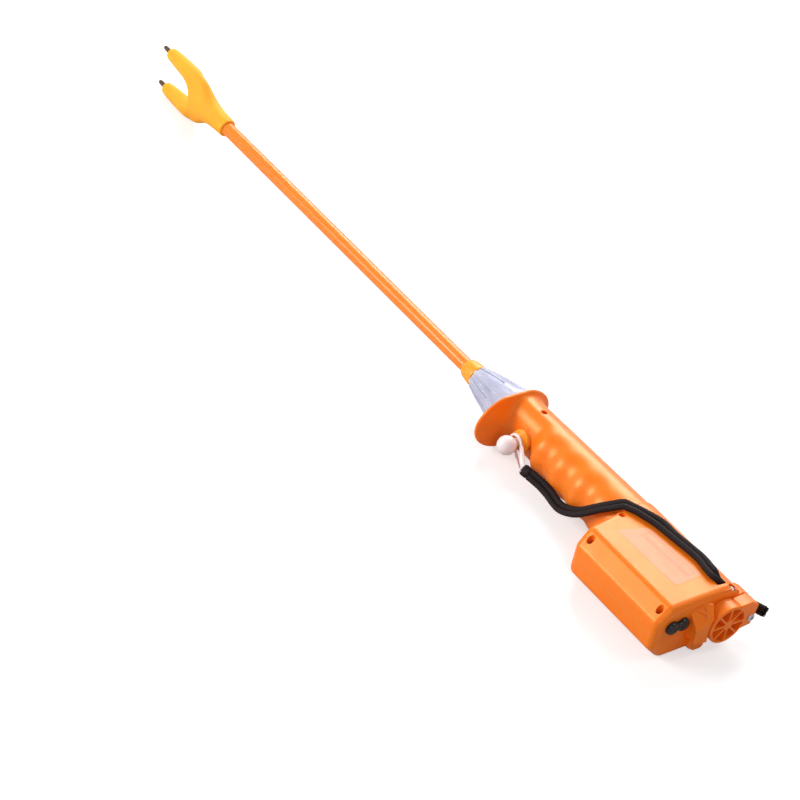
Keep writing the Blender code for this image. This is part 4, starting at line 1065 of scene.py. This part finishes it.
def pocket_outline(number):
    half_spoke = 0.75
    middle = 2 * pi * (number + 0.5) / SPOKES
    spread = pi / SPOKES
    inner_r, outer_r = 4.2, DISC_R - 2.1
    inner = spread - asin(half_spoke / inner_r)
    outer = spread - asin(half_spoke / outer_r)
    points = [(inner_r * cos(middle - inner), inner_r * sin(middle - inner))]
    for step in range(13):
        angle = middle - outer + 2 * outer * step / 12
        points.append((outer_r * cos(angle), outer_r * sin(angle)))
    points.append((inner_r * cos(middle + inner), inner_r * sin(middle + inner)))
    return points


def build_rear_cover():
    thickness = COVER_INNER_X - COVER_OUTER_X
    edge = arc((DISC_R - COVER_EDGE_R, COVER_EDGE_R - thickness), COVER_EDGE_R, 0, -90, 7)
    profile = [(0, 0), (DISC_R, 0), *edge, (0, -thickness)]
    cover = lathe("hatch_cover", "X", (COVER_INNER_X, 0, 0), profile, 120)
    ear = bevelled(prism("ear", EAR, COVER_OUTER_X, COVER_INNER_X), 1.0)
    boolean(cover, [ear], "UNION")
    tools = [prism(f"pocket_{n}", pocket_outline(n), -274.0, -263.0) for n in range(SPOKES)]
    tools.append(rod("ear_bore", "X", (0, *COVER_PIVOT), 1.9, -274.0, -258.0, 32))
    tools.append(rod("contact_recess", "X", (0, 0, 0), 7.0, COVER_INNER_X - 1.2, -258.0, 40))
    boolean(cover, tools)
    dress(cover, ORANGE, ["rear_cover"], "orange_abs", body="battery_cover", angle=38.0)


def build_plug():
    """Two domed lobes joined at the waist, with a prong under each."""
    y, z = PLUG_CENTRE
    dome = [(0, -2.3), (1.5, -2.35), (2.4, -2.75), (3.1, -3.2), (3.9, -3.3), (4.8, -3.0), (5.4, -2.3)]
    dome += [(5.75, -1.3), (5.8, 0.0), (0, 0.0)]
    made = lathe("rubber_plug", "X", (COVER_INNER_X, y - LOBE_OFFSET, z), dome, 56)
    tools = [lathe("lobe", "X", (COVER_INNER_X, y + LOBE_OFFSET, z), dome, 56)]
    waist = box("waist", (-262.6, y - 5.0, z - 3.6), (COVER_INNER_X, y + 5.0, z + 3.6))
    tools.append(bevelled(waist, 1.0, 3))
    for side in (-1, 1):
        tools.append(rod("prong", "X", (0, y + side * PRONG_SPACING / 2, z), 2.2, -261.0, -254.0, 32))
    boolean(made, tools, "UNION")
    dress(made, RUBBER, ["charge_plug"], "black_rubber", body="plug", angle=40.0)


# Wrist strap and its tie

STRAP_FRONT = (
    (-62.0, 28.6, -7.4), (-74.0, 26.2, -8.6), (-86.0, 25.6, -10.2), (-99.0, 26.6, -11.2),
    (-112.0, 27.6, -5.6), (-124.0, 27.4, 3.2), (-137.0, 22.4, 16.2), (-150.0, 12.8, 26.9),
)
FRONT_SIDE = (0.0, -0.733, 0.68)
CORD_ROUTES = {
    "a": (
        (-160.0, 5.2, 27.7), (-180.0, -2.2, 27.7), (-196.0, -2.4, 27.7), (-222.0, -5.3, 27.7),
        (-234.0, -4.5, 27.7), (-240.4, -3.7, 27.5), (-243.9, -4.3, 24.0), (-244.1, -9.5, 17.4),
        (-244.1, -21.5, 5.4), (-245.0, -28.6, -1.6), (-249.5, -34.8, -7.5), (-257.0, -39.6, -9.0),
        (-267.2, -41.7, -7.3),
    ),
    "b": (
        (-161.0, 10.0, 27.7), (-180.0, 4.4, 27.7), (-196.0, 2.4, 27.7), (-222.0, -0.5, 27.7),
        (-235.0, 1.0, 27.7), (-243.8, 1.6, 27.6), (-248.4, -1.6, 25.2), (-248.8, -7.6, 19.3),
        (-248.8, -21.0, 5.9), (-249.9, -28.4, 0.2), (-253.5, -34.6, -2.0), (-259.5, -39.6, -3.6),
        (-268.0, -41.9, -2.3),
    ),
}
BRAID_DEPTH = 0.42
BRAID_PITCH = 5.2
BRAID_STRANDS = 5
HAIRS = 26
GOLDEN_ANGLE = 2.399


def cord_route(label):
    half = CORD_SPACING / 2 if label == "a" else -CORD_SPACING / 2
    middle = through(STRAP_FRONT, 2)
    sideways = Vector(FRONT_SIDE)
    beside = []
    for before, here in zip(middle, middle[1:]):
        ahead = (here - before).normalized()
        sideways = (sideways - ahead * sideways.dot(ahead)).normalized()
        beside.append(before + sideways * half)
    beside.append(middle[-1] + sideways * half)
    return beside[:-1] + through([beside[-1], *CORD_ROUTES[label]], 2)


def braid_height(run, angle):
    """Height from 0 to 1 of a round braid: two families of strands that pass over and under."""
    turn = angle / (2 * pi)
    a = BRAID_STRANDS * turn + run / BRAID_PITCH * 2
    b = BRAID_STRANDS * turn - run / BRAID_PITCH * 2
    over = (int(a // 1) + int(b // 1)) % 2 == 0
    first, second = (a % 1) - 0.5, (b % 1) - 0.5
    top, other = (first, second) if over else (second, first)
    return sqrt(max(1 - (2 * top) ** 2 * 0.9, 0.0)) * (0.5 + 0.5 * cos(pi * other))


def build_cord(label):
    def radius_at(run, angle):
        height = braid_height(run, angle)
        radius = CORD_R - BRAID_DEPTH + BRAID_DEPTH * height + 0.15
        return radius * 1.14, radius, height

    route = cord_route(label)
    fine = resampled(through(route, 3), 0.45)
    made = tube(f"strap_cord_{label}", fine, radius_at, 44, first_side=FRONT_SIDE, values=True)
    dress(made, BRAID, [f"wrist_cord_{label}"], "black_braid", **SMOOTH)
    return made, resampled(route, 2.0)


def strap_axes():
    across = Vector(FRONT_SIDE)
    along = (Vector(STRAP_FRONT[0]) - Vector(STRAP_FRONT[1])).normalized()
    across = (across - along * across.dot(along)).normalized()
    normal = along.cross(across)
    middle = Vector(STRAP_FRONT[0]) + along * 5.6
    return along, across, normal, middle


def build_strap_end():
    """Sewn end of the strap: a rounded sleeve with rows of stitches."""
    along, across, normal, middle = strap_axes()
    half_run, half_width, half_height, sides = 3.9, 4.95, 2.65, 72
    rings = []
    for number in range(49):
        share = 2 * number / 48 - 1
        run = -1.5 + half_run * share
        inset = 0.1 + 1.3 * abs(share) ** 5
        ring = []
        for i, angle in enumerate(round_angles(sides)):
            c, s = cos(angle), sin(angle)
            wide = (half_width - inset) * abs(c) ** 0.8 * (1 if c > 0 else -1)
            high = (half_height - inset) * abs(s) ** 0.8 * (1 if s > 0 else -1)
            rib = 0.09 * sin(run * 2 * pi / 0.9 + (pi if int(i / 3) % 2 else 0))
            wide, high = wide * (1 + rib / 4.7), high * (1 + rib / 2.6)
            ring.append(middle + along * run + across * wide + normal * high)
        rings.append(ring)
    sleeve = skin("strap_end_sleeve", rings)
    stitches = []
    for side in (-1, 1):
        for number in range(4):
            for face in (-1, 1):
                run = -3.8 + 1.5 * number
                start = middle + along * run + across * (side * 2.9) + normal * (face * 2.45)
                end = start + along * 0.95
                lift = normal * (face * 0.32)
                path = [start - lift * 0.6, start + lift, end + lift, end - lift * 0.6]
                stitches.append(tube("stitch", through(path, 3), round_wire(0.22), 8))
    dress(sleeve, BRAID_END, ["strap_end"], "black_braid", **SMOOTH)
    thread = joined("strap_stitches", stitches)
    dress(thread, BRAID, slot="black_braid", **SMOOTH)
    return sleeve, thread


def build_tie():
    """White band from the sewn end round the trigger's neck and back."""
    along, across, normal, middle = strap_axes()
    neck = Vector((TRIGGER_X, TIE_Y, 0.0))
    mouths = [middle + along * 2.4 + across * (side * 2.3) for side in (1, -1)]
    outer = [mouth + along * 1.6 for mouth in mouths]
    inner = [mouth - along * 3.0 for mouth in mouths]
    toward = outer[0] + outer[1] - neck * 2
    toward.y = 0
    toward.normalize()
    beside = toward.cross(Vector((0, 1, 0)))
    if beside.dot(across) < 0:
        beside = -beside
    loop = []
    for number in range(9):
        angle = radians(-30 + 240 * number / 8)
        loop.append(neck + (beside * cos(angle) - toward * sin(angle)) * TIE_LOOP_R)
    right_leg = [inner[0], outer[0], outer[0].lerp(loop[0], 0.5)]
    left_leg = [outer[1].lerp(loop[-1], 0.5), outer[1], inner[1]]
    route = right_leg + loop + left_leg
    fine = resampled(through(route, 6), 0.5)
    half_run = length_of(fine) / 2

    def radius_at(run, angle):
        ripple = 0.05 * sin(run * 3.1) * cos(angle * 2)
        leg = ease((abs(run - half_run) - 17.0) / 6.0)
        return 1.15 + 0.8 * leg + ripple, 1.05 + ripple, 1.0

    made = tube("tie_band", fine, radius_at, 28, first_side=across)
    dress(made, WHITE, ["strap_tie"], "white_nylon", **SMOOTH)
    return made, resampled(through(route, 4), 1.5)


def frayed_end(label, route):
    """Loose filaments at the cut end of a cord."""
    end = route[-1]
    ahead = (route[-1] - route[-3]).normalized()
    sideways = ahead.orthogonal().normalized()
    up = ahead.cross(sideways)
    hairs = []
    for number in range(HAIRS):
        angle = number * GOLDEN_ANGLE
        out = CORD_R * 0.85 * sqrt((number + 0.5) / HAIRS)
        base = sideways * (out * cos(angle)) + up * (out * sin(angle))
        reach = 1.2 + 1.3 * (0.5 + 0.5 * noise.noise(Vector((number * 3.7, 1.3, 0.0))))
        spread = 1.0 + 0.35 * (0.5 + 0.5 * noise.noise(Vector((number * 1.9, 7.1, 2.0))))
        path = [end + base - ahead * 1.2, end + base, end + base * spread + ahead * reach]
        hairs.append(tube("hair", through(path, 3), round_wire(0.26), 6))
    made = joined(f"frayed_end_{label}", hairs)
    return dress(made, BRAID, slot="black_braid", **SMOOTH)


def build_strap():
    sleeve, thread = build_strap_end()
    tie, tie_path = build_tie()
    for label in CORD_ROUTES:
        made, path = build_cord(label)
        frayed = frayed_end(label, path)


# Solids that keep their own shape and get their paint here


def paint_nodes():
    paints = (
        (BOARD, ("lamp_board", "circuit_board")),
        (STEEL, ("battery_spring",)),
        (POTTING, ("trigger_switch", "battery_sleeve", "pulse_transformer", "charge_socket")),
        (CELL_WRAP, ("battery_cell_rear", "battery_cell_front", "storage_capacitor")),
        (BRASS, ("cover_contact",)),
        (INSULATION, ("lead_upper", "lead_lower")),
        (LED_DOME, [f"lamp_led_{number}" for number in range(1, 5)]),
    )
    for paint, names in paints:
        for name in names:
            NODES[name].data.materials.clear()
            NODES[name].data.materials.append(paint)


# Floor, world and lamps

FLOOR_Z = -0.0006
FLOOR_SHADE = 0.5
GLOW_NEAR = 0.58
GLOW_RANGE = (0.6, 2.2)
WORLD_LIGHT = 0.34
LAMP_TARGET = Vector((-0.2, 0.0, 0.03))


def seen_through(tree):
    """1 for camera and transmission rays, 0 for all others."""
    rays = node(tree, "ShaderNodeLightPath").outputs
    return maths(tree, "MAXIMUM", rays["Is Camera Ray"], rays["Is Transmission Ray"])


def build_floor():
    """A pale floor that keeps the shadow and glows to white with distance for the camera."""
    made, tree, shader = new_material("floor")
    feed(tree, shader, {"Base Color": (FLOOR_SHADE, FLOOR_SHADE, FLOOR_SHADE, 1.0), "Roughness": 0.6})
    place = node(tree, "ShaderNodeTexCoord").outputs["Object"]
    away = node(tree, "ShaderNodeVectorMath", {0: place}, operation="LENGTH").outputs["Value"]
    glow = maths(tree, "MULTIPLY", seen_through(tree), ranged(tree, away, *GLOW_RANGE, GLOW_NEAR, 1.0))
    light = node(tree, "ShaderNodeEmission", {"Color": (1, 1, 1, 1), "Strength": glow})
    both = node(tree, "ShaderNodeAddShader", {0: shader.outputs[0], 1: light.outputs[0]})
    feed(tree, tree.nodes["Material Output"], {"Surface": both.outputs[0]})
    scratch = bmesh.new()
    bmesh.ops.create_grid(scratch, x_segments=1, y_segments=1, size=12.0)
    floor = from_bmesh("floor", scratch)
    floor.location.z = FLOOR_Z
    floor.data.materials.append(made)


def build_world():
    world = bpy.data.worlds.new("studio")
    bpy.context.scene.world = world
    world.use_nodes = True
    tree = world.node_tree
    strength = ranged(tree, seen_through(tree), 0.0, 1.0, WORLD_LIGHT, 1.0)
    feed(tree, tree.nodes["Background"], {"Color": (1, 1, 1, 1), "Strength": strength})


def lamp(name, direction, distance, size, power):
    data = bpy.data.lights.new(name, "AREA")
    data.shape = "RECTANGLE"
    data.size, data.size_y = size
    data.energy = power
    made = link(bpy.data.objects.new(name, data))
    place = LAMP_TARGET + Vector(direction).normalized() * distance
    turn = (place - LAMP_TARGET).to_track_quat("Z", "Y").to_matrix().to_4x4()
    made.matrix_world = Matrix.Translation(place) @ turn


def build_lamps():
    lamp("softbox", (0.57, -0.62, 0.57), 2.0, (1.3, 1.1), 42.0)
    lamp("side", (0.52, 0.74, 0.42), 2.2, (0.85, 0.85), 38.0)
    lamp("overhead", (-0.38, -0.36, 0.85), 2.0, (0.6, 0.6), 6.0)
    lamp("front_fill", (-0.75, 0.5, 0.45), 2.2, (1.2, 1.2), 7.0)


build_camera()
build_strap()
build_shells()
build_label()
build_screws()
build_tube()
build_collar()
build_lamp_cover()
build_fork()
build_electrodes()
build_trigger()
build_spring()
build_rear_cover()
build_plug()
paint_nodes()
build_floor()
build_world()
build_lamps()

bpy.context.scene.view_settings.view_transform = "Standard"
